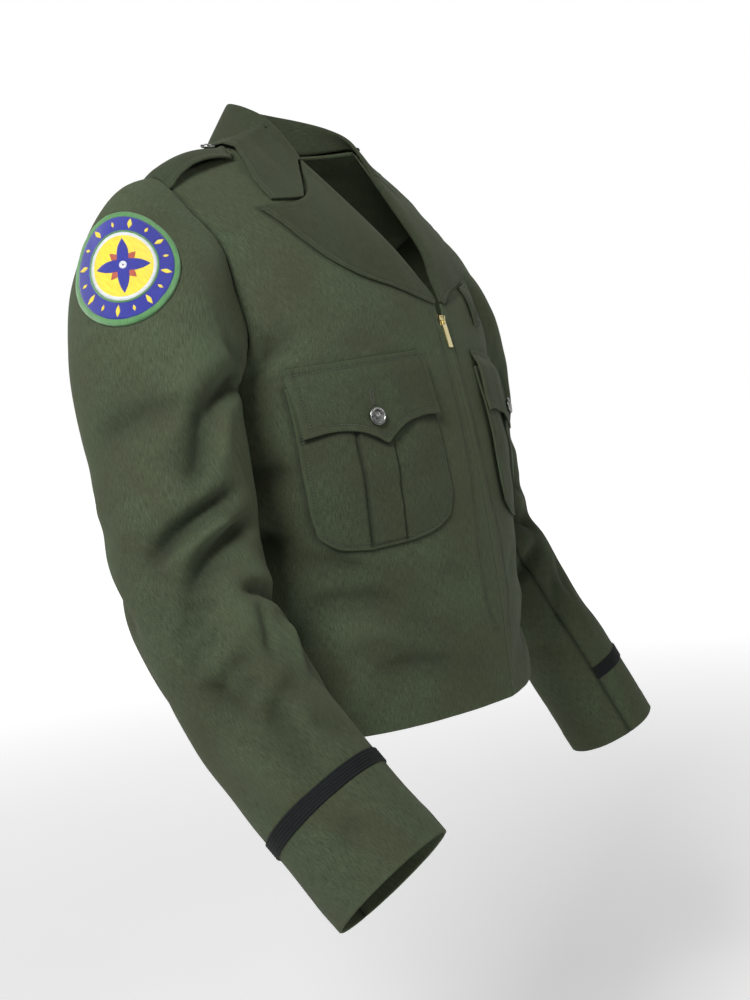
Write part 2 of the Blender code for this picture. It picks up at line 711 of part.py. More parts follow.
def sleeve_grid(name, first, last):
    outside = []
    inside = []
    count = round((last - first) * SLEEVE_COLUMNS)
    alongs = [k / HEAD_ROWS for k in range(HEAD_ROWS)] + [1 + k / ARM_ROWS for k in range(ARM_ROWS + 1)]

    def surface(a, b):
        return sleeve(name, a, b)

    for along in alongs:
        row_out = []
        row_in = []
        for k in range(count + 1):
            turn = first + (last - first) * k / count
            point = surface(turn, along)
            if along == 0:
                way = armhole_normal(turn % 1.0)
                point = point + np.array((SEAM_GAP, 0, 0))
            else:
                way = normal(surface, turn, along, (-1, 2), (0, 2))
            row_out.append(point)
            row_in.append(point - way * CLOTH)
        outside.append(row_out)
        inside.append(row_in)
    return np.array(outside), np.array(inside)


def make_sleeves():
    for name, side in SIDES:
        for piece, first, last in (("top", TURN_HIND_SEAM - 1, TURN_FRONT_SEAM),
                                   ("under", TURN_FRONT_SEAM, TURN_HIND_SEAM)):
            outside, inside = sleeve_grid(name, first, last)
            edges = ("first row", "first column", "last column")
            outside = eased(outside, edges)
            inside = eased(inside, edges)
            wall("sleeve_%s_%s" % (piece, name), [(placed(side, outside), placed(side, inside))], "wool")


def body_tree():
    """Search tree of one half of the body's outer surface, in centimetres."""
    points = []
    faces = []
    count = 40
    for surface in (front, back):
        base = len(points)
        for i, j in np.ndindex(2 * count + 1, count + 1):
            points.append(Vector(surface(j / count, i / count)))
        for i, j in np.ndindex(2 * count, count):
            a = base + i * (count + 1) + j
            faces.append((a, a + 1, a + count + 2, a + count + 1))
    return BVHTree.FromPolygons(points, faces)


def sleeve_tree(name):
    points = []
    faces = []
    rows = 60
    columns = 72
    for i, j in np.ndindex(rows + 1, columns + 1):
        points.append(Vector(sleeve(name, j / columns, 2 * i / rows)))
    for i, j in np.ndindex(rows, columns):
        a = i * (columns + 1) + j
        faces.append((a, a + 1, a + columns + 2, a + columns + 1))
    return BVHTree.FromPolygons(points, faces)


def foot(tree, point, outward):
    """Nearest surface point and its normal, turned to the given side."""
    spot, way, face, distance = tree.find_nearest(Vector(point))
    spot = np.array(spot)
    way = np.array(way)
    return spot, way if way @ np.array(outward) > 0 else -way


def body_outward(point):
    """Rough direction out of the body at a point of one half."""
    return unit(np.array((point[0] * 0.6, point[1], max(point[2] + 14, 0) * 0.8)))


def lay(tree, point, height):
    """Point at a height over the cloth."""
    spot, way = foot(tree, point, body_outward(point))
    return spot + way * height


def keep_off(tree, point, height):
    """Push a point out until it is at least this far over the cloth."""
    spot, way = foot(tree, point, body_outward(point))
    over = (point - spot) @ way
    return point if over >= height else spot + way * height


def thickened(grid, thickness):
    """Grid moved to its other face, along normals worked out from its own points."""
    along = np.gradient(grid, axis=1)
    across = np.gradient(grid, axis=0)
    way = np.cross(across, along)
    way /= np.maximum(np.linalg.norm(way, axis=-1, keepdims=True), 1e-9)
    return grid - way * thickness


def front_at(across, up):
    """Point and normal of the front where it is seen from ahead at this place."""
    wide, armpit, below, above = FRONT_GUESS
    s = min(max(across / wide, 0.02), 0.98)
    level = 1 + (up - armpit) / (below if up < armpit else above)
    for step in range(12):
        point = front(s, level)
        wrong = np.array((across - point[0], up - point[2]))
        if np.abs(wrong).max() < 1e-5:
            break
        small = 1e-3
        by_s = (front(s + small, level) - point)[[0, 2]] / small
        by_level = (front(s, level + small) - point)[[0, 2]] / small
        change = np.linalg.solve(np.array((by_s, by_level)).T, wrong)
        s = min(max(s + change[0], 0.0), 1.0)
        level = min(max(level + change[1], 0.0), 2.0)
    return front(s, level), normal(front, s, level, (0, 1), (0, 2))


def roll_line(t):
    """Level on the front's inner edge of a share of the lapel's roll line, from the break up."""
    return ROLL_LEVELS[0] + (ROLL_LEVELS[1] - ROLL_LEVELS[0]) * t


def lapel_spot(edge, rim, share, t):
    """Place on the lapel in plan: on the straight line to its rim, bent towards its top edge's outline."""
    bend = spline(LAPEL_TOP, share)
    bend = bend - spline(LAPEL_TOP, 0) * (1 - share) - spline(LAPEL_TOP, 1) * share
    return edge + (rim - edge) * share + bend * t * t


def make_lapels(tree):
    grid = []
    for i in range(LAPEL_ROWS + 1):
        t = i / LAPEL_ROWS
        level = roll_line(t)
        edge = front(0, level)
        rim = spline(LAPEL_EDGE, t)
        inward = unit(front(EDGE_STEP, level) - edge)
        rise = normal(front, 0.0, level, (0, 1), (0, 2))
        width = np.linalg.norm(rim - edge)
        scale = min(1.0, LAPEL_LEAST_ROLL + (1 - LAPEL_LEAST_ROLL) * width / LAPEL_FULL_ROLL)
        row = []
        for distance, height in ROLL:
            if distance <= 0:
                row.append(edge + (inward * distance + rise * height) * scale)
            else:
                share = distance / ROLL_DEPTH * min(LAPEL_ROLL_SHARE, ROLL_DEPTH / width)
                row.append(lay(tree, lapel_spot(edge, rim, share, t), height * scale))
        for share in LAPEL_SHARES:
            settle = ramp(share, *LAPEL_SETTLES)
            height = (ROLL[-1][1] * (1 - settle) + LAPEL_HEIGHT * settle) * scale
            row.append(lay(tree, lapel_spot(edge, rim, share, t), height))
        grid.append(row)
    grid = np.array(grid)
    inside = thickened(grid, LAPEL_CLOTH)
    for name, side in SIDES:
        pair = [eased(face, ("last row",), GORGE_GAP / 2) for face in (grid, inside)]
        wall("lapel_" + name, [tuple(placed(side, face) for face in pair)], "wool")


def over_epaulet(point):
    """How much higher the collar's leaf lies where the epaulet passes under it."""
    near = 1 - ramp(abs(point[1] - EPAULET_MIDDLE), *COLLAR_LIFT_SIDES)
    return COLLAR_LIFT * near * ramp(point[0], *COLLAR_LIFT_ACROSS)


def make_collar(tree):
    gorge = front(0, roll_line(1.0))
    inward = unit(front(EDGE_STEP, roll_line(1.0)) - gorge)
    rise = normal(front, 0.0, roll_line(1.0), (0, 1), (0, 2))
    up = np.array((0, 0, 1.0))
    grid = []
    for i in range(COLLAR_STATIONS + 1):
        c = i / COLLAR_STATIONS
        row = spline(COLLAR, c)
        seam, fold, rim = row[:3], row[3:6], row[6:9]
        out = rim - fold
        out[2] = 0
        out = unit(out) if i < COLLAR_STATIONS else np.array((0, -1.0, 0))
        standing = [seam, (seam + fold) / 2, fold]
        standing += [fold + out * distance + up * height for distance, height in COLLAR_FOLD]
        rolled = [gorge + inward * distance + rise * height for distance, height in COLLAR_ROLL]
        blend = smooth(c / COLLAR_STANDS)
        path = [a * (1 - blend) + b * blend for a, b in zip(rolled, standing)]
        start = path[-1]
        aside, down, reach = COLLAR_LEAVES
        fall = start + (out * aside - up * down) * blend + (rim - start) * reach * (1 - blend)
        near = rim - (rim - start) * COLLAR_ARRIVES[0] + up * COLLAR_ARRIVES[1] * blend
        for share in COLLAR_SHARES:
            bend = spline(COLLAR_FRONT, share)
            bend = bend - spline(COLLAR_FRONT, 0) * (1 - share) - spline(COLLAR_FRONT, 1) * share
            spot = bezier(start, fall, near, rim, share) + bend * max(1 - c / COLLAR_OUTLINE_ENDS, 0) ** 2
            height = LAPEL_HEIGHT + (COLLAR_HEIGHT - LAPEL_HEIGHT) * ramp(c, *COLLAR_RISES)
            path.append(keep_off(tree, spot, height + over_epaulet(spot)))
        grid.append(path)
    grid = np.array(grid)
    inside = thickened(grid, CLOTH)
    halves = []
    for face in (grid, inside):
        face = eased(face, ("first row",), GORGE_GAP / 2)
        face[-1, :, 0] = 0
        halves.append(face)
    wall("collar", [(placed(side, halves[0]), placed(side, halves[1])) for name, side in SIDES], "wool")


def make_pockets():
    pleat = [PLEAT_ACROSS[0] - PLEAT_STEP, PLEAT_ACROSS[0] + PLEAT_STEP, sum(PLEAT_ACROSS) / 2,
             PLEAT_ACROSS[1] - PLEAT_STEP, PLEAT_ACROSS[1] + PLEAT_STEP]
    grid = []
    inside = []
    for i in range(POCKET_ROWS + 1):
        q = 1 - (1 - i / POCKET_ROWS) ** POCKET_ROW_EASE
        edge = spline(POCKET, q)
        inner, outer = edge[:2], edge[2:4]
        before = [inner[0] + (PLEAT_ACROSS[0] - inner[0]) * share for share in POCKET_SHARES]
        after = [outer[0] - (outer[0] - PLEAT_ACROSS[1]) * share for share in reversed(POCKET_SHARES)]
        row = []
        under = []
        for across in before + pleat + after:
            on_pleat = PLEAT_ACROSS[0] < across < PLEAT_ACROSS[1]
            across = min(max(across, inner[0]), outer[0])
            share = (across - inner[0]) / (outer[0] - inner[0])
            spot, way = front_at(across, inner[1] + (outer[1] - inner[1]) * share)
            full = POCKET_PUFF * (max(math.sin(math.pi * share), 0) * math.sin(math.pi * q)) ** POCKET_SQUARE
            full += PLEAT_RISE * smooth(q / PLEAT_RISES) if on_pleat else 0
            row.append(spot + way * (POCKET_SEAT + POCKET_CLOTH + full))
            under.append(spot + way * (POCKET_SEAT + full))
        grid.append(row)
        inside.append(under)
    for name, side in SIDES:
        wall("pocket_" + name, [(placed(side, grid), placed(side, inside))], "wool")


def flap_seat(share, down):
    """Height of the flap's hidden face over the front."""
    from_middle = abs(share - FLAP_POINT) * (FLAP_SEAM[1][0] - FLAP_SEAM[0][0])
    over_pleat = 1 - ramp(from_middle, *FLAP_PLEAT_REACH)
    return FLAP_SEAT + smooth(down / FLAP_RISES) * (FLAP_RISE + FLAP_OVER_PLEAT * over_pleat)


def make_flaps():
    seam = np.array(FLAP_SEAM)
    grid = []
    inside = []
    for i in range(FLAP_ROWS + 1):
        row = []
        under = []
        for k in range(FLAP_COLUMNS + 1):
            share = k / FLAP_COLUMNS
            across, up = seam[0] * (1 - share) + seam[1] * share
            down = spline(FLAP_DROP, share)[0] * i / FLAP_ROWS
            spot, way = front_at(across - FLAP_LEAN * down, up - down)
            seat = flap_seat(share, down)
            row.append(spot + way * (seat + FLAP_CLOTH))
            under.append(spot + way * seat)
        grid.append(row)
        inside.append(under)
    for name, side in SIDES:
        wall("flap_" + name, [(placed(side, grid), placed(side, inside))], "wool")


def turned(name, profile, middle, way, side, material, sides=20):
    """Solid of revolution about a way through its middle; profile gives radius and height."""
    mesh = bpy.data.meshes.new(name)
    build = bmesh.new()
    rings = []
    axis = Vector(unit(place(side, middle + way) - place(side, middle)))
    base = Vector(place(side, middle))
    one = axis.orthogonal().normalized()
    two = axis.cross(one)
    for radius, height in profile:
        if radius == 0:
            rings.append([build.verts.new(base + axis * height * CM)])
            continue
        ring = []
        for k in range(sides):
            angle = 2 * math.pi * k / sides
            ring.append(build.verts.new(base + axis * height * CM + one * radius * CM * math.cos(angle)
                                        + two * radius * CM * math.sin(angle)))
        rings.append(ring)
    for low, high in zip(rings, rings[1:]):
        for k in range(sides):
            n = (k + 1) % sides
            if len(low) == 1:
                build.faces.new((low[0], high[n], high[k]))
            elif len(high) == 1:
                build.faces.new((low[k], low[n], high[0]))
            else:
                build.faces.new((low[k], low[n], high[n], high[k]))
    bmesh.ops.recalc_face_normals(build, faces=build.faces)
    build.to_mesh(mesh)
    build.free()
    mesh.shade_smooth()
    mesh.set_sharp_from_angle(angle=math.radians(40))
    thing = bpy.data.objects.new(name, mesh)
    thing.data.materials.append(finish(material))
    bpy.context.collection.objects.link(thing)
    return thing


def button_profile(radius, height):
    """Low shank, rounded rim and a shallow dome."""
    return ((0, 0), (radius * BUTTON_FOOT, 0), (radius, height * 0.35), (radius * 0.98, height * 0.6),
            (radius * 0.86, height * 0.72), (radius * 0.74, height * 0.66), (radius * 0.4, height * 0.95),
            (0, height))


def make_pocket_buttons():
    spot, way = front_at(*POCKET_BUTTON)
    height = flap_seat(FLAP_POINT, FLAP_SEAM[0][1] - POCKET_BUTTON[1]) + FLAP_CLOTH + BUTTON_SEAT
    profile = button_profile(BUTTON_RADIUS, BUTTON_HEIGHT)
    for name, side in SIDES:
        turned("pocket_button_" + name, profile, spot + way * height, way, side, "button")


def drop(tree, across, forward):
    """Shoulder's surface straight below a place in plan, with its normal."""
    spot, way, face, distance = tree.ray_cast(Vector((across, forward, 15.0)), Vector((0, 0, -1)))
    if spot is None:
        spot, way, face, distance = tree.find_nearest(Vector((across, forward, -5.0)))
    way = np.array(way)
    return np.array(spot), way if way[2] > 0 else -way


def epaulet_loft(e):
    """How far the epaulet arches off the shoulder at a share of its length."""
    return EPAULET_LOFT * max(math.sin(math.pi * min(e / EPAULET_ARCH_END, 1)), 0) ** 0.75


def make_epaulets(tree):
    run = EPAULET_ACROSS[1] - EPAULET_ACROSS[0]
    grid = []
    for i in range(EPAULET_ROWS + 1):
        e = i / EPAULET_ROWS
        half = EPAULET_HALF[0] + (EPAULET_HALF[1] - EPAULET_HALF[0]) * e
        tip = max(0.0, e - EPAULET_ARCH_END) / (1 - EPAULET_ARCH_END)
        row = []
        for k in range(EPAULET_COLUMNS + 1):
            f = 2 * k / EPAULET_COLUMNS - 1
            across = EPAULET_ACROSS[0] + run * e + tip * EPAULET_POINT * abs(f) ** 1.5
            spot, way = drop(tree, across, EPAULET_MIDDLE + f * half * (1 - tip / 4))
            lift = np.array((0, 0, epaulet_loft(e)))
            row.append(spot + way * (EPAULET_SEAT + EPAULET_CLOTH) + lift)
        grid.append(row)
    grid = np.array(grid)
    inside = thickened(grid, -EPAULET_CLOTH)

    # The button stands square on the arch at its place
    spot, way = drop(tree, EPAULET_BUTTON_ACROSS, EPAULET_MIDDLE)
    foot_radius = EPAULET_BUTTON_RADIUS * BUTTON_FOOT
    outer, inner = [epaulet_loft((EPAULET_BUTTON_ACROSS + reach - EPAULET_ACROSS[0]) / run)
                    for reach in (foot_radius, -foot_radius)]
    seat = spot + way * (EPAULET_SEAT + EPAULET_CLOTH + BUTTON_SEAT)
    seat = seat + np.array((0, 0, (outer + inner) / 2))
    tilt = unit(way + np.array(((inner - outer) / (2 * foot_radius), 0, 0)))
    profile = button_profile(EPAULET_BUTTON_RADIUS, BUTTON_HEIGHT)
    for name, side in SIDES:
        wall("epaulet_" + name, [(placed(side, grid), placed(side, inside))], "wool")
        turned("epaulet_button_" + name, profile, seat, tilt, side, "button", 16)


def make_braids():
    first, last = TURN_HIND_SEAM - 1 + BRAID_MARGIN, TURN_FRONT_SEAM - BRAID_MARGIN
    for name, side in SIDES:
        def surface(a, b, name=name):
            return sleeve(name, a, b)

        grid = []
        inside = []
        for share, lift in BRAID_SECTION:
            along = 1 + BRAID[0] + (BRAID[1] - BRAID[0]) * share
            row = []
            under = []
            for k in range(BRAID_COLUMNS + 1):
                turn = first + (last - first) * k / BRAID_COLUMNS
                way = normal(surface, turn, along, (-1, 2), (0, 2))
                row.append(surface(turn, along) + way * (BRAID_SEAT + BRAID_CLOTH * lift))
                under.append(surface(turn, along) + way * BRAID_SEAT)
            grid.append(row)
            inside.append(under)
        wall("braid_" + name, [(placed(side, grid), placed(side, inside))], "braid")


def make_patch():
    tree = sleeve_tree("right")
    spot, way = foot(tree, PATCH_MIDDLE, (1, 0.2, 0.3))
    tall = unit(np.array((0, 0, 1.0)) - way * way[2])
    wide = np.cross(tall, way)
    grid = []
    inside = []
    for share, lift in PATCH_SECTION:
        row = []
        under = []
        for k in range(PATCH_SIDES + 1):
            angle = 2 * math.pi * (k % PATCH_SIDES) / PATCH_SIDES
            aside = wide * PATCH_HALF[0] * math.cos(angle) + tall * PATCH_HALF[1] * math.sin(angle)
            hit, turn, face, distance = tree.ray_cast(Vector(spot + share * aside + way * 6), Vector(-way))
            turn = np.array(turn)
            turn = turn if turn @ way > 0 else -turn
            row.append(np.array(hit) + turn * (PATCH_SEAT + lift))
            under.append(np.array(hit) + turn * PATCH_SEAT)
        grid.append(row)
        inside.append(under)
    for rows in (grid, inside):
        rows.insert(0, [np.mean(rows[0][:PATCH_SIDES], axis=0)] * (PATCH_SIDES + 1))
    wall("sleeve_patch", [(placed(RIGHT, grid), placed(RIGHT, inside))], "patch")


def make_tab():
    corners = np.array(TAB)
    grid = []
    inside = []
    for i in range(TAB_ROWS + 1):
        a = i / TAB_ROWS
        row = []
        under = []
        for k in range(TAB_COLUMNS + 1):
            b = k / TAB_COLUMNS
            top = corners[0] * (1 - b) + corners[1] * b
            low = corners[3] * (1 - b) + corners[2] * b
            spot, way = front_at(*(top * (1 - a) + low * a))
            row.append(spot + way * (TAB_SEAT + TAB_CLOTH))
            under.append(spot + way * TAB_SEAT)
        grid.append(row)
        inside.append(under)
    wall("badge_tab", [(placed(LEFT, grid), placed(LEFT, inside))], "wool")


def middle_at(up):
    """Forward place of the front's outer face at the middle, at this height."""
    return spline(tuple((row[3], row[2]) for row in FRONT if row[0] <= ROLL_LEVELS[0]), up)[0]


def make_zip():
    section = ((-TAPE_HALF, 0), (-CHAIN_HALF - CHAIN_SLOPE, 0), (-CHAIN_HALF, CHAIN_HEIGHT),
               (CHAIN_HALF, CHAIN_HEIGHT), (CHAIN_HALF + CHAIN_SLOPE, 0), (TAPE_HALF, 0))
    grid = []
    inside = []
    for i in range(ZIP_ROWS + 1):
        up = ZIP_TOP + (ZIP_BOTTOM - ZIP_TOP) * i / ZIP_ROWS
        base = middle_at(up) - CLOTH - ZIP_SEAT - CHAIN_HEIGHT
        row = []
        under = []
        for across, lift in section:
            face = base - TAPE_FALL * abs(across)
            row.append(np.array((across, -face - lift, up)) * CM)
            under.append(np.array((across, -face + TAPE_CLOTH, up)) * CM)
        grid.append(row)
        inside.append(under)
    wall("zip_tape", [(np.array(grid), np.array(inside))], "tape")


def block(build, low, high):
    """Box between two corners, in centimetres across, forward and up."""
    made = bmesh.ops.create_cube(build, size=1.0)["verts"]
    for vert in made:
        share = vert.co + Vector((0.5, 0.5, 0.5))
        point = [low[k] + (high[k] - low[k]) * share[k] for k in range(3)]
        vert.co = Vector((point[0] * CM, -point[1] * CM, point[2] * CM))
    return made


def brass_thing(name, boxes, rotate=None):
    """Brass piece of a few boxes joined into one body by Boolean unions."""
    things = []
    for low, high in boxes:
        build = bmesh.new()
        block(build, low, high)
        bmesh.ops.recalc_face_normals(build, faces=build.faces)
        mesh = bpy.data.meshes.new(name)
        build.to_mesh(mesh)
        build.free()
        things.append(bpy.data.objects.new(name if not things else name + "_join", mesh))
    base = things[0]
    base.data.materials.append(finish("brass"))
    bpy.context.collection.objects.link(base)
    for extra in things[1:]:
        extra.hide_render = True
        extra.display_type = "WIRE"
        bpy.context.collection.objects.link(extra)
        union = base.modifiers.new("join", "BOOLEAN")
        union.operation = "UNION"
        union.solver = "EXACT"
        union.object = extra
    if rotate:
        pivot, angle = rotate
        for thing in things:
            for vert in thing.data.vertices:
                vert.co = vert.co - Vector(pivot)
            thing.location = pivot
            thing.rotation_euler = (angle, 0, 0)
    return base


def make_slider_and_pull():
    """Slider with the upright bail that carries the pull, and the pull on its bar in the bail."""
    wide, deep, tall = SLIDER_SIZE
    face = middle_at(SLIDER_UP) + SLIDER_PROUD
    low, high = SLIDER_UP - tall / 2, SLIDER_UP + tall / 2
    outer = face + BAIL_REACH
    foot_low = low + BAIL_SET_IN
    foot_high = high - BAIL_BAR
    root = face - BAIL_BAR / 2
    brass_thing("zip_slider", [
        ((-wide / 2, face - deep, low), (wide / 2, face, high)),
        ((-BAIL_HALF, root, foot_high - BAIL_POST), (BAIL_HALF, outer, foot_high)),
        ((-BAIL_HALF, root, foot_low), (BAIL_HALF, outer, foot_low + BAIL_POST)),
        ((-BAIL_HALF, outer - BAIL_BAR, foot_low), (BAIL_HALF, outer, foot_high)),
    ])
    forward = face + HINGE_REACH
    up = foot_low + BAIL_POST + HINGE_RISE
    bar = PULL_BAR / 2
    thin = PULL_THICKNESS / 2
    inner = BAIL_HALF + PULL_CLEAR
    shoulder = up - PULL_WINDOW - bar
    brass_thing("zip_pull", [
        ((-PULL_HALF, forward - bar, up - bar), (PULL_HALF, forward + bar, up + bar)),
        ((-PULL_HALF, forward - bar, shoulder), (-inner, forward + bar, up + bar)),
        ((inner, forward - bar, shoulder), (PULL_HALF, forward + bar, up + bar)),
        ((-PULL_HALF, forward - thin, up - PULL_LENGTH), (PULL_HALF, forward + thin, up - PULL_WINDOW)),
    ], ((0.0, -forward * CM, up * CM), math.radians(-PULL_TILT)))


def main():
    for old in list(bpy.data.objects):
        bpy.data.objects.remove(old, do_unlink=True)
    make_fronts()
    make_back()
    make_sleeves()
    tree = body_tree()
    make_lapels(tree)
    make_collar(tree)
    make_pockets()
    make_flaps()
    make_pocket_buttons()
    make_epaulets(tree)
    make_braids()
    make_patch()
    make_tab()
    make_zip()
    make_slider_and_pull()


main()
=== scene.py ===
"""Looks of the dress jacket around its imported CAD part.

Cloth is worked out as fine grids of points for one half of the jacket, in centimetres as distance
across from the middle, forward and up, and then placed on either side in metres. The wearer's left
is +X and the front faces -Y.
"""
import math

import bmesh
import bpy
import numpy as np
from mathutils import Matrix, Vector
from mathutils.bvhtree import BVHTree


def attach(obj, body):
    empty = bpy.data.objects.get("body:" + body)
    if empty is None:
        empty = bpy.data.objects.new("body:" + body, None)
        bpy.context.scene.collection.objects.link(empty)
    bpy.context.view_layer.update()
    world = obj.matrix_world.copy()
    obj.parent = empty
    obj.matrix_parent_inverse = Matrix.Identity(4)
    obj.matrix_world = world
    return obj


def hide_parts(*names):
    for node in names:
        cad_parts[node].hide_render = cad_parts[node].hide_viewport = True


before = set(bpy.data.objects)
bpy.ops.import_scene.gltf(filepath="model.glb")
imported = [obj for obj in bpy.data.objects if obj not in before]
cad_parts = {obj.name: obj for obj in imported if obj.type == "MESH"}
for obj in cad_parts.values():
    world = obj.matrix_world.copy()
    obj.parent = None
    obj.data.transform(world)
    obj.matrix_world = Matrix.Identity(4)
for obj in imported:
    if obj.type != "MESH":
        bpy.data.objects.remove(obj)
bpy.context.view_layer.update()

CM = 0.01
RIGHT = -1
LEFT = 1
SIDES = (("right", RIGHT), ("left", LEFT))
EVERY = slice(None)

# Cloth, seams and edges, in centimetres
CLOTH = 0.20
SEAM_GAP = 0.008
FRONT_GAP = 0.05
SEAM_DIP = 0.10
SEAM_DIP_WIDTH = 0.20
PUCKER = 0.022
PUCKER_LENGTH = 1.9
HEM_WIDTH = 2.6
HEM_RISE = 0.03
WEAR_WIDTH = 0.22
STITCH_PITCH = 0.27
STITCH_LENGTH = 0.19
STITCH_RADIUS = 0.026
EDGE_STITCH = 0.32

# Numbers of rows and columns in the fine grids
PANEL_ROWS = 190
PANEL_COLUMNS = 84
SLEEVE_ROWS = 210
SLEEVE_ROUND = 140
TURN_FRONT_SEAM = 9 / 24
TURN_HIND_SEAM = 17 / 24
# A free edge is rounded over these distances in from it, as shares of a panel's width or length
EDGE_SHARES = (0.0007, 0.0018, 0.0035, 0.006)
SURFACE_STEP = 0.004
# Levels over which a panel is softened, the share of its width near each edge where this fades,
# and the weights
SOFT_LEVELS = 0.055
SOFT_SHARE = 0.3
SOFT_WEIGHTS = ((-1, 0.25), (0, 0.5), (1, 0.25))
ARM_STEP = 0.04
SLEEVE_FULLNESS = 1.15
HEAD_ROLL = 0.05

# Side seam: level (0 hem, 1 armpit), across, forward, up
SIDE_SEAM = (
    (0.00, 18.2, 1.0, -54.0),
    (0.27, 18.4, 0.8, -46.0),
    (0.53, 18.9, 0.6, -38.0),
    (0.80, 20.0, 0.3, -30.5),
    (1.00, 20.4, -0.3, -24.2),
)
# Armhole: turn (0 shoulder, 0.25 front, 0.5 armpit, 0.75 back), place, then the way the sleeve leaves it
ARMHOLE = (
    (0.00, 22.4, 0.2, -6.3, 1.00, 0.00, -0.08),
    (0.09, 21.3, 3.0, -9.6, 0.95, 0.35, -0.25),
    (0.17, 20.0, 4.4, -12.4, 0.85, 0.55, -0.35),
    (0.25, 19.6, 4.9, -16.0, 0.75, 0.55, -0.55),
    (0.34, 19.3, 5.3, -20.2, 0.55, 0.40, -0.80),
    (0.42, 19.8, 3.4, -23.0, 0.35, 0.20, -1.00),
    (0.50, 20.4, -0.3, -24.2, 0.25, 0.00, -1.00),
    (0.58, 20.0, -4.2, -23.0, 0.35, -0.20, -1.00),
    (0.66, 19.3, -7.0, -20.0, 0.60, -0.35, -0.75),
    (0.75, 19.6, -7.6, -15.6, 0.80, -0.35, -0.50),
    (0.83, 20.4, -6.6, -11.8, 0.90, -0.35, -0.35),
    (0.92, 21.7, -3.6, -8.2, 1.00, -0.20, -0.25),
)
ARMHOLE_ROUND = tuple((row[0] + turns, *row[1:]) for turns in (-1, 0, 1) for row in ARMHOLE)
# Front: level (0 hem, 1 armpit, 2 shoulder), inner edge, its handle, the outer edge's handle
FRONT = (
    (0.00, 0.0, 15.1, -54.0, 5.8, -0.8, 0.0, 0.0, 10.6, 0.0),
    (0.27, 0.0, 15.0, -46.0, 6.1, -0.6, 0.0, 0.1, 10.6, 0.0),
    (0.53, 0.0, 14.6, -38.0, 6.6, -0.3, 0.0, 0.2, 10.7, 0.0),
    (0.80, 0.0, 13.9, -30.0, 7.1, 0.0, 0.0, 0.4, 11.3, 0.0),
    (1.00, 0.0, 13.0, -23.8, 7.3, 0.0, 0.0, 0.2, 10.6, 0.0),
    (1.12, 0.0, 12.6, -21.6, 6.9, 0.1, 0.0, -1.5, 8.4, 0.1),
    (1.16, 0.05, 12.5, -20.8, 6.8, 0.1, 0.0, -1.9, 7.8, 0.1),
    (1.24, 0.42, 12.2, -19.4, 6.4, 0.2, 0.0, -2.6, 6.6, 0.2),
    (1.32, 0.45, 12.0, -17.9, 6.0, 0.3, 0.0, -3.2, 5.6, 0.3),
    (1.50, 1.6, 10.7, -15.2, 5.8, 0.6, 0.0, -3.4, 4.4, 0.4),
    (1.66, 3.2, 9.0, -11.9, 5.5, 0.6, 0.0, -4.2, 3.0, 0.6),
    (1.82, 4.9, 5.4, -7.0, 5.5, 0.8, -0.6, -5.0, 2.0, 0.8),
    (2.00, 7.5, 0.0, 0.0, 5.0, 0.0, -2.8, -5.0, 0.0, 1.6),
)
# Back: the same columns, its inner edge being the middle of the back and then the neck seam
BACK = (
    (0.000, 0.0, -9.4, -54.0, 9.0, 0.0, 0.0, 0.0, -8.0, 0.0),
    (0.270, 0.0, -8.9, -46.3, 9.0, 0.0, 0.0, 0.1, -8.0, 0.0),
    (0.530, 0.0, -8.8, -38.5, 9.0, 0.0, 0.0, 0.2, -8.2, 0.0),
    (0.800, 0.0, -9.8, -30.8, 9.0, 0.0, 0.0, 0.5, -9.0, 0.0),
    (1.000, 0.0, -10.6, -24.4, 9.0, 0.0, 0.0, 0.2, -9.0, 0.0),
    (1.120, 0.0, -10.9, -20.0, 8.8, 0.0, 0.0, -1.3, -7.0, 0.1),
    (1.270, 0.0, -11.1, -14.5, 8.4, 0.0, 0.0, -3.2, -4.2, 0.4),
    (1.450, 0.0, -10.6, -7.0, 7.6, 0.0, 0.0, -4.0, -3.2, 1.0),
    (1.580, 0.0, -9.4, -2.0, 7.0, -0.2, -0.4, -3.0, -3.4, 1.5),
    (1.667, 0.0, -8.0, 0.5, 6.0, -1.0, -1.0, -3.5, -3.0, 1.6),
    (1.750, 2.9, -7.5, 0.5, 5.0, -1.2, -1.2, -4.0, -2.4, 1.6),
    (1.833, 5.2, -5.9, 0.45, 5.0, -0.8, -1.8, -4.5, -1.6, 1.6),
    (1.917, 6.8, -3.3, 0.3, 5.0, -0.4, -2.4, -5.0, -0.8, 1.6),
    (2.000, 7.5, 0.0, 0.0, 5.0, 0.0, -2.8, -5.0, 0.0, 1.6),
)
# Arm below the armpit: station, middle (across, forward, up), half width across, half width forward
ARMS = {
    "right": (
        (0.00, 26.1, 1.1, -26.5, 5.4, 7.3),
        (0.18, 26.3, 1.8, -32.5, 5.4, 7.0),
        (0.36, 26.8, 2.9, -38.0, 5.5, 6.3),
        (0.50, 27.0, 4.8, -43.0, 5.4, 5.9),
        (0.65, 27.0, 7.8, -48.2, 5.1, 5.7),
        (0.82, 26.8, 12.6, -54.4, 4.8, 5.5),
        (1.00, 26.5, 18.7, -61.1, 4.6, 5.5),
    ),
    "left": (
        (0.00, 25.9, 0.4, -26.8, 5.2, 6.2),
        (0.18, 25.9, 0.5, -32.5, 5.1, 6.0),
        (0.36, 26.2, 1.1, -38.2, 5.1, 5.7),
        (0.50, 27.2, 2.6, -43.5, 5.0, 5.6),
        (0.65, 29.0, 4.8, -49.5, 4.9, 5.5),
        (0.82, 31.4, 7.9, -57.3, 4.8, 5.4),
        (1.00, 34.0, 11.1, -66.0, 4.7, 5.3),
    ),
}
# Half width of the neck opening, from which on the two halves of the back part
NECK_OPENS = 0.02
LEFT_SHOULDER_BACK = 2.6
SHOULDER_ACROSS = 20.0

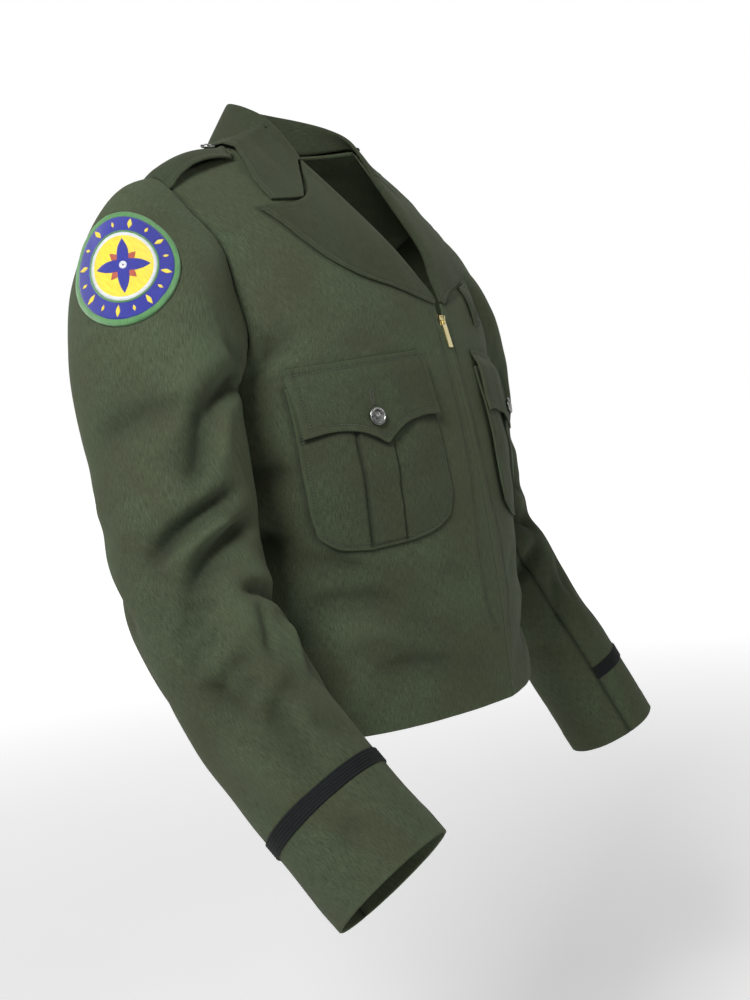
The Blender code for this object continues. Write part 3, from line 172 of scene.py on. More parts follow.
# Lapel and collar, as in the CAD part
LAPEL_EDGE = (
    (0.00, 0.9, 12.3, -17.75),
    (0.08, 1.8, 12.1, -17.55),
    (0.30, 6.3, 11.3, -16.2),
    (0.44, 9.2, 10.4, -15.3),
    (0.58, 11.6, 9.3, -14.0),
    (0.72, 13.3, 8.0, -12.3),
    (0.88, 14.9, 6.3, -10.1),
    (1.00, 15.7, 5.4, -9.15),
)
LAPEL_TOP = (
    (0.00, 6.2, 3.0, -3.5),
    (0.50, 9.9, 5.8, -7.7),
    (0.75, 12.8, 5.9, -8.7),
    (1.00, 15.7, 5.4, -9.15),
)
COLLAR_FRONT = (
    (0.00, 6.2, 3.0, -3.5),
    (0.62, 9.9, 5.8, -7.65),
    (1.00, 14.0, 5.3, -8.2),
)
COLLAR = (
    (0.00, 6.3, 2.9, -3.6, 6.0, 3.1, -3.2, 14.0, 5.3, -8.2),
    (0.18, 6.9, 1.3, -1.5, 6.1, 1.4, -0.9, 13.9, 3.3, -6.0),
    (0.36, 7.3, 0.0, 0.10, 6.3, -0.2, 1.0, 12.7, 1.0, -3.7),
    (0.54, 7.0, -2.3, 0.42, 6.1, -2.5, 2.5, 11.4, -1.9, -2.3),
    (0.72, 5.8, -5.0, 0.55, 4.9, -5.1, 3.7, 9.3, -5.6, -1.2),
    (0.86, 3.3, -7.0, 0.65, 2.8, -6.8, 4.3, 5.2, -8.5, -0.7),
    (1.00, 0.0, -7.8, 0.70, 0.0, -7.5, 4.5, 0.0, -9.7, -0.6),
)
ROLL = ((-0.26, -0.14), (-0.36, 0.10), (-0.22, 0.34), (0.15, 0.46), (0.70, 0.48), (1.40, 0.44))
ROLL_DEPTH = 1.40
ROLL_LEVELS = (1.34, 1.91)
LAPEL_HEIGHT = 0.34
LAPEL_FULL_ROLL = 5.0
LAPEL_SHARES = (0.32, 0.5, 0.68, 0.84, 1.0)
LAPEL_ROWS = 22
LAPEL_EDGE_HEIGHT = 0.26
# The left lapel's lower edge runs a little higher
LAPEL_EDGE_RISE = {"right": 0.0, "left": 0.9}
COLLAR_FOLD = ((0.14, 0.24), (0.46, 0.24), (0.74, -0.06))
COLLAR_ROLL = ((-0.26, -0.14), (-0.32, 0.0), (-0.36, 0.10), (-0.22, 0.34), (0.15, 0.46), (0.55, 0.48))
COLLAR_SHARES = (0.08, 0.16, 0.24, 0.32, 0.40, 0.47, 0.53, 0.58, 0.62, 0.66, 0.72, 0.80, 0.90, 1.0)
CORNERED = 0.75
COLLAR_STATIONS = 24
COLLAR_GRID = (200, 76)
LAPEL_GRID = (90, 78)
COLLAR_HEIGHT = 0.48
COLLAR_LIFT = 0.20
GORGE_GAP = 0.05

# Breast pocket seen from the front: share of its depth, inner edge (across, up), outer edge (across, up)
POCKET = (
    (0.00, 4.9, -23.6, 17.7, -24.5),
    (0.30, 4.8, -27.9, 17.6, -28.9),
    (0.60, 4.7, -32.3, 17.3, -32.9),
    (0.80, 4.8, -35.3, 16.8, -35.9),
    (0.90, 5.7, -36.9, 16.2, -37.4),
    (0.97, 8.0, -37.9, 14.7, -38.3),
    (1.00, 9.6, -38.2, 13.2, -38.5),
)
POCKET_HOLDS = 0.88
# The left pocket sits this much nearer the middle, and its inner edge stands off the front
POCKET_SHIFT = {"right": 0.0, "left": -0.9}
POCKET_GAPE = {"right": 0.0, "left": 0.26}
GAPE_WIDTH = 4.5
GAPE_TOP = -24.5
GAPE_BOTTOM = -38.4
POCKET_CLOTH = 0.20
POCKET_SEAT = 0.02
POCKET_PUFF = 0.22
POCKET_ROWS = 82
POCKET_COLUMNS = 94
POCKET_ROW_EASE = 1.6
# Each edge of the pleat: across at the pocket's bottom, how far it leans out per centimetre up, its groove
PLEAT_INNER = (10.3, 0.033, 0.10)
PLEAT_OUTER = (13.0, 0.065, 0.22)
PLEAT_FOOT = -38.0
PLEAT_RISE = 0.20
PLEAT_EDGE = 0.05
FLAP_DROP = (
    (0.00, 5.9),
    (0.10, 5.7),
    (0.20, 5.75),
    (0.36, 6.15),
    (0.46, 6.85),
    (0.52, 7.35),
    (0.58, 6.85),
    (0.68, 6.15),
    (0.84, 5.7),
    (1.00, 5.9),
)
FLAP_SEAM = ((5.0, -22.0), (17.7, -22.9))
FLAP_POINT = 0.52
FLAP_LEAN = 0.02
FLAP_TAPER = 0.055
FLAP_COLUMNS = 106
FLAP_ROWS = 44
FLAP_CLOTH = 0.22
FLAP_SEAT = 0.03
FLAP_RISE = 0.42
FLAP_OVER_PLEAT = 0.22
FLAP_CURL = 0.10
CURL_REACH = 1.4
FLAP_TOP_STITCH = 0.55
FLAP_STITCH = EDGE_STITCH * 1.7
COLLAR_STITCH = EDGE_STITCH * 1.9
EPAULET_STITCH = EDGE_STITCH * 1.6
STITCH_DIP = 0.035
STITCH_DIP_WIDTH = 0.10
POCKET_BUTTON = (12.0, -27.6)
BUTTON_RADIUS = 0.78
BUTTON_HEIGHT = 0.44
BUTTON_SEAT = 0.05
BUTTONHOLE = ((11.9, -25.3), (12.0, -26.6))
EPAULET_BUTTON_RADIUS = 0.64
# Pitch, length and radius of the close stitches round a buttonhole and the badge tab's eyelet
HOLE_STITCH = (0.07, 0.12, 0.05)
EYELET_STITCH = (0.08, 0.12, 0.045)
EYELET = (7.9, -18.3)
EYELET_RADIUS = 0.24
# Outline of a button's half section, in shares of its radius and height, and its rosette and ribs
BUTTON_SECTION = (
    (0.0, 0.0), (0.80, 0.0), (0.95, 0.12), (1.0, 0.34), (0.985, 0.50), (0.93, 0.62), (0.87, 0.64),
    (0.82, 0.58), (0.79, 0.52), (0.72, 0.55), (0.60, 0.66), (0.45, 0.76), (0.25, 0.83), (0.0, 0.86),
)
BUTTON_SIDES = 72
BUTTON_DOME = 0.75
LEAF_RISE = 0.10
RIB_RISE = 0.012

# Epaulet along the shoulder, from the sleeve seam to its point under the collar
EPAULET_ACROSS = (22.5, 12.2)
EPAULET_MIDDLE = -0.9
EPAULET_HALF = (2.6, 2.1)
EPAULET_CLOTH = 0.25
EPAULET_SEAT = 0.14
EPAULET_LOFT = 0.85
EPAULET_ARCH_END = 0.86
EPAULET_POINT = 1.5
EPAULET_SEWN = 0.30
EPAULET_SEWN_END = 0.10
EPAULET_ROWS = 70
EPAULET_COLUMNS = 36
EPAULET_BUTTON_ACROSS = 13.9
EPAULET_BUTTON_LEAN = 0.28
EPAULET_BUTTON_SEAT = 0.16

# Braid round the sleeve
BRAID = (0.840, 0.867)
BRAID_THICKNESS = 0.13
BRAID_SEAT = 0.03
BRAID_RIBS = 6
BRAID_RIB_HEIGHT = 0.065
BRAID_ROWS = 49
BRAID_COLUMNS = 140
BRAID_MARGIN = 0.001

# Fly stitching beside the front's meeting edge: up, across
FLY = ((-47.6, 1.1), (-44.8, 1.9), (-39.4, 1.9), (-33.4, 1.25), (-24.8, 1.0), (-20.0, 1.0))
FLY_SEWN = (-20.5, -47.4)
# Rough size of a front, for the first guess at a place on it: width, and height under and over level 1
FRONT_WIDE = 19.0
LEVEL_ONE_UP = -23.8
LOWER_TALL = 30.0
UPPER_TALL = 18.5
FLY_RISE = 0.06
FLY_GROOVE = 0.07
FLY_GROOVE_WIDTH = 0.13

# Round patch on the right sleeve
PATCH_MIDDLE = (29.4, 2.6, -14.2)
PATCH_HALF = (4.15, 4.75)
PATCH_SEAT = 0.03
PATCH_RINGS = 22
PATCH_SIDES = 168
PATCH_CLOTH = 0.16
PATCH_EDGE = 0.075
PATCH_EDGE_THREADS = 150
# Stars: points, outer and inner radius as shares of the patch's half size, turn; then the rays
PATCH_STAR = (4, 0.50, 0.16)
PATCH_STAR_LOW = (4, 0.34, 0.14, math.pi / 4)
PATCH_RAYS = 16
PATCH_RAYS_AT = 0.765

# Tab for a badge on the left breast, corners as seen from the front
TAB = ((5.9, -15.9), (8.7, -15.2), (9.2, -19.5), (6.9, -19.6))
TAB_CLOTH = 0.20
TAB_SEAT = 0.06

# Zip
ZIP_TOP = -18.6
ZIP_BOTTOM = -52.0
ZIP_SEAT = 0.06
TAPE_HALF = 1.3
TAPE_FALL = 0.13
TAPE_CLOTH = 0.08
TOOTH_PITCH = 0.26
TOOTH = (0.30, 0.15, 0.15)
CHAIN_HEIGHT = 0.16
TOOTH_BEVEL = 0.03
TOOTH_ASIDE = 0.10
# Rounding of the slider and the pull tab, in metres and degrees
BRASS_BEVEL = 0.00035
BRASS_BEVEL_ANGLE = 35

# Soft folds from one end to the other on the surface's own two values (sleeves: turn, along;
# panels: share of the width, level), then half width, depth (a ridge's is below zero), sideways bow
# and lean of the deep side
FOLDS = {
    "right": (
        (0.35, 0.62, 0.23, 0.96, 1.6, 0.50, 0.5, 0.4),
        (0.24, 0.93, 0.14, 1.17, 1.6, 0.60, -0.4, 0.4),
        (0.27, 0.62, 0.10, 1.04, 1.7, -0.30, 0.0, 0.0),
        (-0.05, 1.01, 0.14, 0.97, 2.0, 0.30, 0.3, 0.2),
        (0.24, 1.20, 0.02, 1.34, 1.5, 0.60, 0.4, 0.5),
        (0.30, 1.27, 0.09, 1.43, 1.7, 0.55, 0.5, 0.5),
        (0.21, 1.24, 0.06, 1.38, 1.4, -0.20, 0.4, 0.0),
        (-0.01, 1.44, 0.13, 1.47, 1.6, 0.30, 0.0, 0.3),
        (0.31, 1.42, 0.17, 1.56, 2.4, -0.40, 0.0, 0.0),
        (0.01, 1.57, 0.15, 1.82, 1.9, 0.30, 0.3, 0.2),
        (0.44, 1.17, 0.60, 1.30, 1.8, 0.40, 0.3, 0.3),
        (0.46, 1.40, 0.36, 1.50, 1.7, 0.35, 0.0, 0.3),
        (0.70, 0.70, 0.86, 1.08, 1.9, 0.45, 0.4, 0.3),
        (0.86, 1.18, 0.74, 1.44, 2.0, 0.35, 0.3, 0.3),
    ),
    "left": (
        (0.34, 0.60, 0.24, 0.94, 1.6, 0.45, 0.4, 0.4),
        (0.30, 0.95, 0.16, 1.16, 1.7, 0.45, 0.3, 0.4),
        (0.38, 1.22, 0.20, 1.36, 1.6, 0.50, 0.3, 0.4),
        (0.40, 1.38, 0.22, 1.50, 1.7, 0.55, 0.3, 0.5),
        (0.24, 1.42, 0.08, 1.50, 1.6, 0.35, 0.0, 0.3),
        (0.30, 1.56, 0.16, 1.74, 1.9, 0.30, 0.2, 0.3),
        (0.02, 1.00, 0.16, 1.06, 2.0, 0.30, 0.2, 0.2),
        (0.04, 1.30, -0.10, 1.46, 1.8, 0.35, 0.3, 0.3),
        (0.46, 1.12, 0.62, 1.24, 1.8, 0.35, 0.2, 0.3),
        (0.68, 0.72, 0.84, 1.04, 1.9, 0.45, 0.4, 0.3),
        (0.88, 1.14, 0.76, 1.38, 2.0, 0.30, 0.3, 0.3),
    ),
    "front": (
        (0.80, 1.32, 0.93, 1.16, 1.7, 0.35, 0.0, 0.2),
        (0.92, 0.80, 0.70, 0.76, 1.7, 0.30, 0.2, 0.3),
        (0.94, 0.60, 0.72, 0.55, 1.8, 0.40, 0.3, 0.4),
        (0.70, 0.48, 0.36, 0.33, 2.0, 0.30, 0.4, 0.3),
        (0.60, 0.22, 0.10, 0.09, 2.0, 0.25, 0.4, 0.3),
        (0.86, 0.30, 0.66, 0.10, 2.2, -0.25, 0.0, 0.0),
    ),
    "back": (
        (0.92, 1.30, 0.70, 1.08, 2.2, 0.45, 0.3, 0.3),
        (0.94, 1.05, 0.74, 0.70, 2.4, 0.45, 0.4, 0.3),
        (0.90, 0.62, 0.50, 0.48, 2.2, 0.35, 0.3, 0.3),
        (0.84, 0.34, 0.44, 0.26, 2.2, 0.35, 0.3, 0.3),
        (0.30, 0.44, 0.05, 0.40, 2.4, 0.25, 0.2, 0.2),
    ),
}
# Small creases that only the finished cloth has
CREASES = {
    "right": (
        (-0.03, 1.01, 0.16, 0.975, 0.9, 0.26, 0.2, 0.4),
        (0.35, 0.62, 0.19, 1.02, 0.9, 0.38, 0.6, 0.5),
        (0.185, 1.00, 0.145, 1.16, 0.8, 0.34, 0.2, 0.5),
        (0.25, 0.95, 0.21, 1.12, 0.9, -0.24, 0.0, 0.0),
        (0.03, 1.335, 0.225, 1.20, 0.85, 0.50, 0.4, 0.6),
        (0.10, 1.425, 0.28, 1.285, 0.85, 0.45, 0.5, 0.6),
        (0.10, 1.36, 0.22, 1.28, 0.7, -0.18, 0.3, 0.0),
        (0.02, 1.365, 0.07, 1.385, 0.5, 0.18, 0.1, 0.4),
        (0.07, 1.455, 0.14, 1.465, 0.55, 0.25, 0.1, 0.4),
        (0.02, 1.52, 0.10, 1.48, 0.9, 0.35, 0.2, 0.4),
        (0.22, 1.46, 0.36, 1.50, 0.8, 0.70, 0.2, 0.3),
        (0.24, 1.50, 0.21, 1.62, 0.7, 0.35, 0.2, 0.4),
        (0.30, 1.56, 0.27, 1.67, 0.9, -0.30, 0.0, 0.0),
        (0.02, 1.60, 0.07, 1.63, 0.6, 0.18, 0.1, 0.3),
        (0.05, 1.66, 0.15, 1.645, 0.7, 0.28, 0.1, 0.4),
        (0.20, 1.76, 0.27, 1.80, 0.9, 0.25, 0.1, 0.3),
        (0.15, 1.68, 0.10, 1.84, 1.2, 0.20, 0.3, 0.2),
        (0.01, 1.70, 0.03, 1.84, 1.3, -0.18, 0.0, 0.0),
        (0.05, 1.93, 0.13, 1.915, 0.6, 0.22, 0.1, 0.3),
        (0.02, 1.64, 0.16, 1.60, 0.8, 0.34, 0.3, 0.4),
        (0.12, 1.72, 0.24, 1.68, 0.8, 0.30, 0.3, 0.4),
        (0.02, 1.555, 0.12, 1.53, 0.6, 0.30, 0.2, 0.4),
        (0.33, 0.40, 0.26, 0.62, 0.9, 0.16, 0.3, 0.4),
        (0.10, 0.10, 0.06, 0.42, 1.0, 0.07, 0.0, 0.0),
        (0.52, 1.28, 0.68, 1.40, 0.9, 0.40, 0.3, 0.4),
        (0.50, 1.42, 0.64, 1.50, 0.9, 0.35, 0.3, 0.4),
        (0.78, 1.00, 0.88, 1.14, 0.9, 0.25, 0.3, 0.4),
        (0.82, 1.30, 0.93, 1.44, 1.0, 0.25, 0.3, 0.4),
        (0.24, 1.62, 0.36, 1.74, 1.2, 0.15, 0.4, 0.2),
        (0.90, 1.52, 0.78, 1.70, 1.2, 0.20, 0.3, 0.3),
        (0.55, 0.55, 0.70, 0.90, 1.1, 0.25, 0.3, 0.3),
    ),
    "left": (
        (0.38, 1.20, 0.22, 1.33, 0.85, 0.42, 0.4, 0.5),
        (0.38, 1.38, 0.22, 1.47, 0.85, 0.45, 0.4, 0.5),
        (0.36, 1.29, 0.25, 1.39, 0.7, -0.18, 0.3, 0.0),
        (0.28, 1.53, 0.44, 1.57, 0.8, 0.45, 0.2, 0.4),
        (0.27, 0.70, 0.22, 1.08, 1.0, 0.30, 0.4, 0.4),
        (0.30, 1.62, 0.38, 1.72, 0.9, 0.25, 0.2, 0.3),
        (0.14, 1.24, 0.04, 1.34, 0.8, 0.30, 0.3, 0.5),
        (0.16, 1.44, 0.04, 1.50, 0.8, 0.30, 0.3, 0.5),
        (0.28, 1.06, 0.18, 1.12, 0.8, 0.20, 0.2, 0.4),
        (0.20, 1.60, 0.28, 1.68, 0.9, 0.18, 0.2, 0.3),
        (0.95, 1.06, 0.84, 1.20, 1.0, 0.25, 0.3, 0.3),
        (0.52, 1.26, 0.66, 1.36, 0.9, 0.38, 0.3, 0.4),
        (0.50, 1.42, 0.64, 1.49, 0.9, 0.32, 0.3, 0.4),
        (0.92, 1.34, 0.80, 1.48, 1.0, 0.22, 0.3, 0.3),
        (0.55, 0.55, 0.70, 0.90, 1.1, 0.25, 0.3, 0.3),
        (0.10, 0.12, 0.05, 0.40, 1.0, 0.07, 0.0, 0.0),
    ),
    "front": (
        (0.97, 0.60, 0.62, 0.47, 1.2, 0.42, 0.5, 0.5),
        (0.80, 0.37, 0.50, 0.36, 1.1, 0.34, 0.6, 0.4),
        (0.88, 0.34, 0.72, 0.14, 1.2, 0.30, 0.3, 0.3),
        (0.58, 0.18, 0.30, 0.15, 0.9, 0.25, 0.3, 0.4),
        (0.99, 0.80, 0.76, 0.765, 0.9, 0.30, 0.1, 0.5),
        (0.99, 1.36, 0.86, 1.22, 0.8, 0.25, 0.2, 0.4),
        (0.52, 0.30, 0.24, 0.22, 1.1, 0.15, 0.4, 0.4),
        (0.70, 0.28, 0.45, 0.26, 1.2, -0.20, 0.4, 0.0),
        (0.30, 0.42, 0.14, 0.36, 1.0, 0.10, 0.2, 0.3),
    ),
    "back": (
        (0.93, 0.62, 0.62, 0.52, 1.1, 0.45, 0.5, 0.4),
        (0.84, 0.36, 0.45, 0.30, 1.1, 0.32, 0.4, 0.4),
        (0.95, 1.22, 0.78, 1.02, 1.0, 0.35, 0.3, 0.4),
        (0.80, 0.98, 0.62, 0.82, 1.1, 0.20, 0.3, 0.3),
        (0.66, 0.42, 0.28, 0.36, 1.0, 0.18, 0.4, 0.3),
        (0.90, 1.50, 0.76, 1.34, 1.2, 0.15, 0.2, 0.3),
        (0.40, 1.46, 0.10, 1.38, 1.6, 0.12, 0.3, 0.2),
        (0.50, 0.14, 0.18, 0.08, 1.1, 0.18, 0.3, 0.2),
    ),
}
# Centimetres per unit of the two values, before and after the second reaches 1
FOLD_SCALE = {"sleeve": (38.0, 17.0, 38.0), "panel": (22.0, 30.0, 19.0)}
FOLD_END = 0.22
FOLD_DEPTH = 1.2
CREASE_DEPTH = 1.8
# Painted shade and, below zero, painted highlight: its range, its amount per centimetre of a fold's depth,
# and round what is sewn on: how much and how wide
PAINTED_SHADING_RANGE = (-0.5, 1)
PAINTED_SHADE_PER_DEPTH = 0.50
SEAM_SHADE = 0.75
SEAM_SHADE_WIDTH = 0.28

# Uneven lie of the cloth: wave lengths across and along in centimetres, phase, height
UNEVEN = ((6.1, 9.7, 0.4, 0.020), (3.7, -5.3, 1.7, 0.012), (11.0, 4.9, 2.9, 0.022), (2.3, 3.1, 5.1, 0.005))


def spline(rows, at):
    """Read a table at stations between its rows, on a smooth curve through them."""
    table = np.array(rows, float)
    station = table[:, 0]
    values = table[:, 1:]
    step = np.diff(station)[:, None]
    slope = np.diff(values, axis=0) / step
    middle = (slope[:-1] * step[1:] + slope[1:] * step[:-1]) / (step[1:] + step[:-1])
    tangent = np.vstack([slope[:1], middle, slope[-1:]])
    at = np.clip(np.asarray(at, float), station[0], station[-1])
    k = np.clip(np.searchsorted(station, at, side="right"), 1, len(station) - 1) - 1
    width = (station[k + 1] - station[k])[..., None]
    t = (at - station[k])[..., None] / width
    return (values[k] * (1 + 2 * t) * (1 - t) ** 2 + tangent[k] * width * t * (1 - t) ** 2
            + values[k + 1] * t * t * (3 - 2 * t) + tangent[k + 1] * width * t * t * (t - 1))


def smooth(t):
    t = np.clip(t, 0.0, 1.0)
    return t * t * (3 - 2 * t)


def bump(t):
    """Bell round zero, one unit wide."""
    return np.exp(-np.square(t))


def unit(vectors):
    return vectors / np.maximum(np.linalg.norm(vectors, axis=-1, keepdims=True), 1e-12)


def bezier(a, b, c, d, t):
    t = np.asarray(t)[..., None]
    return a * (1 - t) ** 3 + b * 3 * t * (1 - t) ** 2 + c * 3 * t * t * (1 - t) + d * t ** 3


def hermite(a, lead, b, trail, t):
    t = np.asarray(t)[..., None]
    return (a * (1 + 2 * t) * (1 - t) ** 2 + lead * t * (1 - t) ** 2
            + b * t * t * (3 - 2 * t) + trail * t * t * (t - 1))


def armhole(turn):
    """Points of the armhole seam and the directions in which the sleeve leaves it."""
    row = spline(ARMHOLE_ROUND, np.asarray(turn) % 1.0)
    return row[..., :3], unit(row[..., 3:6])


def outer_edge(level, half):
    """Side seam up to the armpit, then the front or back half of the armhole."""
    turn = (2 - level) / 2
    above = armhole(turn if half == "front" else 1 - turn)[0]
    return np.where((level <= 1)[..., None], spline(SIDE_SEAM, level), above)


def on_cloth(kind, a, b):
    """Places on a surface in centimetres over the cloth."""
    across, low, high = FOLD_SCALE[kind]
    return np.stack(np.broadcast_arrays(a * across, np.where(b < 1, b * low, low + (b - 1) * high)), -1)


def fold_depth(name, kind, a, b):
    """How far the folds and creases draw the cloth in."""
    spot = on_cloth(kind, a, b)
    total = np.zeros(spot.shape[:-1])
    rows = [(row, FOLD_DEPTH) for row in FOLDS[name]] + [(row, CREASE_DEPTH) for row in CREASES[name]]
    for (a0, b0, a1, b1, width, depth, bow, lean), scale in rows:
        shift = np.round(a - (a0 + a1) / 2) if kind == "sleeve" else 0
        start = on_cloth(kind, a0 + shift, np.asarray(b0, float))
        run = on_cloth(kind, a1 + shift, np.asarray(b1, float)) - start
        length = np.linalg.norm(run, axis=-1)
        offset = spot - start
        share = (offset * run).sum(-1) / length ** 2
        aside = (offset[..., 0] * run[..., 1] - offset[..., 1] * run[..., 0]) / length
        aside = aside - bow * 4 * share * (1 - share)
        fade = smooth((share + FOLD_END) / (2 * FOLD_END)) * smooth((1 + FOLD_END - share) / (2 * FOLD_END))
        reach = width * np.where(aside > 0, 1 - lean / 2, 1 + lean / 2)
        total += scale * depth * fade * bump(aside / reach)
    return total


def painted_fold_shading(name, kind, a, b):
    """How much painted shade darkens cloth lying in a fold or, below zero, how much painted highlight pales
    it on a ridge.
    """
    depth = fold_depth(name, kind, a, b)
    return np.clip(PAINTED_SHADE_PER_DEPTH * depth, -0.5, 1.0)


def uneven(kind, a, b):
    """Slight waves of cloth that isn't pulled flat."""
    spot = on_cloth(kind, a, b)
    total = 0
    for across, along, phase, height in UNEVEN:
        total = total + height * np.sin(2 * math.pi * (spot[..., 0] / across + spot[..., 1] / along) + phase)
    return total


def normals_of(surface, a, b, a_range, b_range):
    """Unit normals of a surface of two values, from the points just round them."""
    a0, a1 = np.maximum(a - SURFACE_STEP, a_range[0]), np.minimum(a + SURFACE_STEP, a_range[1])
    b0, b1 = np.maximum(b - SURFACE_STEP, b_range[0]), np.minimum(b + SURFACE_STEP, b_range[1])
    return unit(np.cross(surface(a, b1) - surface(a, b0), surface(a1, b) - surface(a0, b)))


def folded(plain, name, kind, a, b, sign, fade):
    """Points of a plain surface after its folds have drawn it in."""
    a, b = np.broadcast_arrays(np.asarray(a, float), np.asarray(b, float))
    depth = (fold_depth(name, kind, a, b) + uneven(kind, a, b)) * fade
    a_range = (-1, 2) if kind == "sleeve" else (0, 1)
    return plain(a, b) - normals_of(plain, a, b, a_range, (0, 2)) * sign * depth[..., None]


def plain_panel(rows, half, s, level):
    """Panel without folds, the turn of its outer edge at the armpit softened away from its edges."""
    s, level = np.broadcast_arrays(np.asarray(s, float), np.asarray(level, float))
    reach = SOFT_LEVELS * smooth((1 - s) / SOFT_SHARE) * smooth(s / SOFT_SHARE)
    reach = reach * smooth((2 - level) / SOFT_SHARE) * smooth(level / SOFT_SHARE)
    total = 0
    for step, weight in SOFT_WEIGHTS:
        at = np.clip(level + step * reach, 0, 2)
        row = spline(rows, at)
        outer = outer_edge(at, half)
        total = total + weight * bezier(row[..., :3], row[..., :3] + row[..., 3:6], outer + row[..., 6:9],
                                        outer, s)
    return total


def plain_front(s, level):
    return plain_panel(FRONT, "front", s, level)


def plain_back(s, level):
    return plain_panel(BACK, "back", s, level)


def held_flat(s, level):
    """1 where the pocket and its flap keep the front from folding."""
    point = plain_front(s, level)
    across, up = point[..., 0], point[..., 2]
    wide = smooth((across - 4.0) / 1.5) * smooth((18.9 - across) / 1.4)
    return wide * smooth((up + 40.0) / 2.5) * smooth((-21.5 - up) / 1.5)


def front(s, level):
    fade = smooth(s / 0.1) * smooth((1 - s) / 0.12) * smooth((2 - level) / 0.2)
    fade = fade * (1 - POCKET_HOLDS * held_flat(s, level))
    return folded(plain_front, "front", "panel", s, level, 1, fade)


def back(s, level):
    fade = smooth((1 - s) / 0.12) * smooth((2 - level) / 0.2)
    return folded(plain_back, "back", "panel", s, level, -1, fade)


def arm_ring(name, turn, station):
    """Points of rings round the arm: turn 0 outward, 0.25 forward, 0.5 inward."""
    row = spline(ARMS[name], station)
    ahead = spline(ARMS[name], np.minimum(station + ARM_STEP, 1))[..., :3]
    way = unit(ahead - spline(ARMS[name], np.maximum(station - ARM_STEP, 0))[..., :3])
    outward = unit(np.array((1.0, 0, 0)) - way * way[..., :1])
    forward = np.array((0, 1.0, 0)) - way * way[..., 1:2]
    forward = unit(forward - outward * (forward * outward).sum(-1, keepdims=True))
    angle = 2 * math.pi * np.asarray(turn)[..., None]
    return (row[..., :3] + outward * row[..., 3:4] * np.cos(angle)
            + forward * row[..., 4:5] * np.sin(angle)), way


def plain_sleeve(name, turn, along):
    """Sleeve without folds: along 0 at the armhole, 1 where the rings start, 2 at the cuff."""
    below = arm_ring(name, turn, np.maximum(along - 1, 0))[0]
    seam, lead = armhole(turn)
    ring, way = arm_ring(name, turn, np.zeros_like(np.asarray(turn, float)))
    reach = np.linalg.norm(ring - seam, axis=-1, keepdims=True) * SLEEVE_FULLNESS
    head = hermite(seam, lead * reach, ring, way * reach, np.minimum(along, 1))
    return np.where((along >= 1)[..., None], below, head)


def sleeve(name, turn, along):
    def plain(a, b):
        return plain_sleeve(name, a, b)

    return folded(plain, name, "sleeve", turn, along, 1, smooth(along / 0.3))


def place(side, points):
    """From across, forward, up in centimetres to the part's own metres."""
    across, forward, up = points[..., 0], points[..., 1], points[..., 2]
    if side == LEFT:
        forward = forward - LEFT_SHOULDER_BACK * np.minimum(np.abs(across) / SHOULDER_ACROSS, 1) ** 2
    return np.stack([side * across, -forward, up], -1) * CM


def grid_normals(grid):
    """Unit normals from a grid's own points, on the side that rows crossed with columns give."""
    return unit(np.cross(np.gradient(grid, axis=0), np.gradient(grid, axis=1)))


def spaced(count, first_edge=False, last_edge=False):
    """Shares from 0 to 1, with more of them beside a free edge."""
    shares = set(np.linspace(0, 1, count))
    if first_edge:
        shares |= set(EDGE_SHARES)
    if last_edge:
        shares |= {1 - share for share in EDGE_SHARES}
    return np.array(sorted(shares))


def from_edges(grid):
    """Distance over the grid from each of its four edges, in the grid's unit."""
    def run(axis, backward):
        step = np.linalg.norm(np.diff(grid, axis=axis), axis=-1)
        if backward:
            step = np.flip(step, axis)
        total = np.cumsum(step, axis=axis)
        total = np.insert(total, 0, 0, axis=axis)
        return np.flip(total, axis) if backward else total

    return {"first row": run(0, False), "last row": run(0, True),
            "first column": run(1, False), "last column": run(1, True)}


def drawn_back(grid, edges, half=SEAM_GAP / 2):
    """Draw chosen edges back by half a seam gap."""
    grid = grid.copy()
    for edge in edges:
        rim, beside = (-1, -2) if "last" in edge else (0, 1)
        rim, beside = ((EVERY, rim), (EVERY, beside)) if "column" in edge else (rim, beside)
        grid[rim] += unit(grid[beside] - grid[rim]) * half
    return grid


def rounded_down(near, thickness):
    """How far either face of a cloth piece gives way near an edge that closes in a half round."""
    half = thickness / 2
    inward = 1 - np.minimum(near / half, 1)
    return half * (1 - np.sqrt(np.maximum(1 - inward ** 2, 0)))


def tailored(grid, ways, thickness, seams=(), free=(), relief=0.0):
    """Outer and inner grids of a cloth piece and how near each point is to a free edge.

    Seams dip and pucker, and free edges close in a half round.
    """
    away = from_edges(grid)
    raised = np.zeros(grid.shape[:2]) + relief
    for edge in seams:
        along = away["first row" if "column" in edge else "first column"]
        wave = np.sin(2 * math.pi * along / PUCKER_LENGTH + 2 * np.sin(along * 0.31))
        raised -= SEAM_DIP * bump(away[edge] / SEAM_DIP_WIDTH)
        raised += PUCKER * wave * bump((away[edge] - 0.5) / 0.6)
    outside = grid + ways * raised[..., None]
    inside = grid - ways * (thickness - raised * 0.5)[..., None]
    near = np.full(grid.shape[:2], 1e3)
    for edge in free:
        near = np.minimum(near, away[edge])
    close = rounded_down(near, thickness)
    outside = outside - ways * close[..., None]
    inside = inside + ways * close[..., None]
    return outside, inside, np.exp(-near / WEAR_WIDTH)


def thing_from(name, points, faces, material, smooth_angle=None):
    mesh = bpy.data.meshes.new(name)
    mesh.from_pydata(np.asarray(points).tolist(), [], [list(map(int, face)) for face in faces])
    thing = bpy.data.objects.new(name, mesh)
    bpy.context.collection.objects.link(thing)
    thing.data.materials.append(material)
    tidy = bmesh.new()
    tidy.from_mesh(mesh)
    bmesh.ops.recalc_face_normals(tidy, faces=tidy.faces)
    tidy.to_mesh(mesh)
    tidy.free()
    mesh.shade_smooth()
    if smooth_angle:
        mesh.set_sharp_from_angle(angle=math.radians(smooth_angle))
    return thing


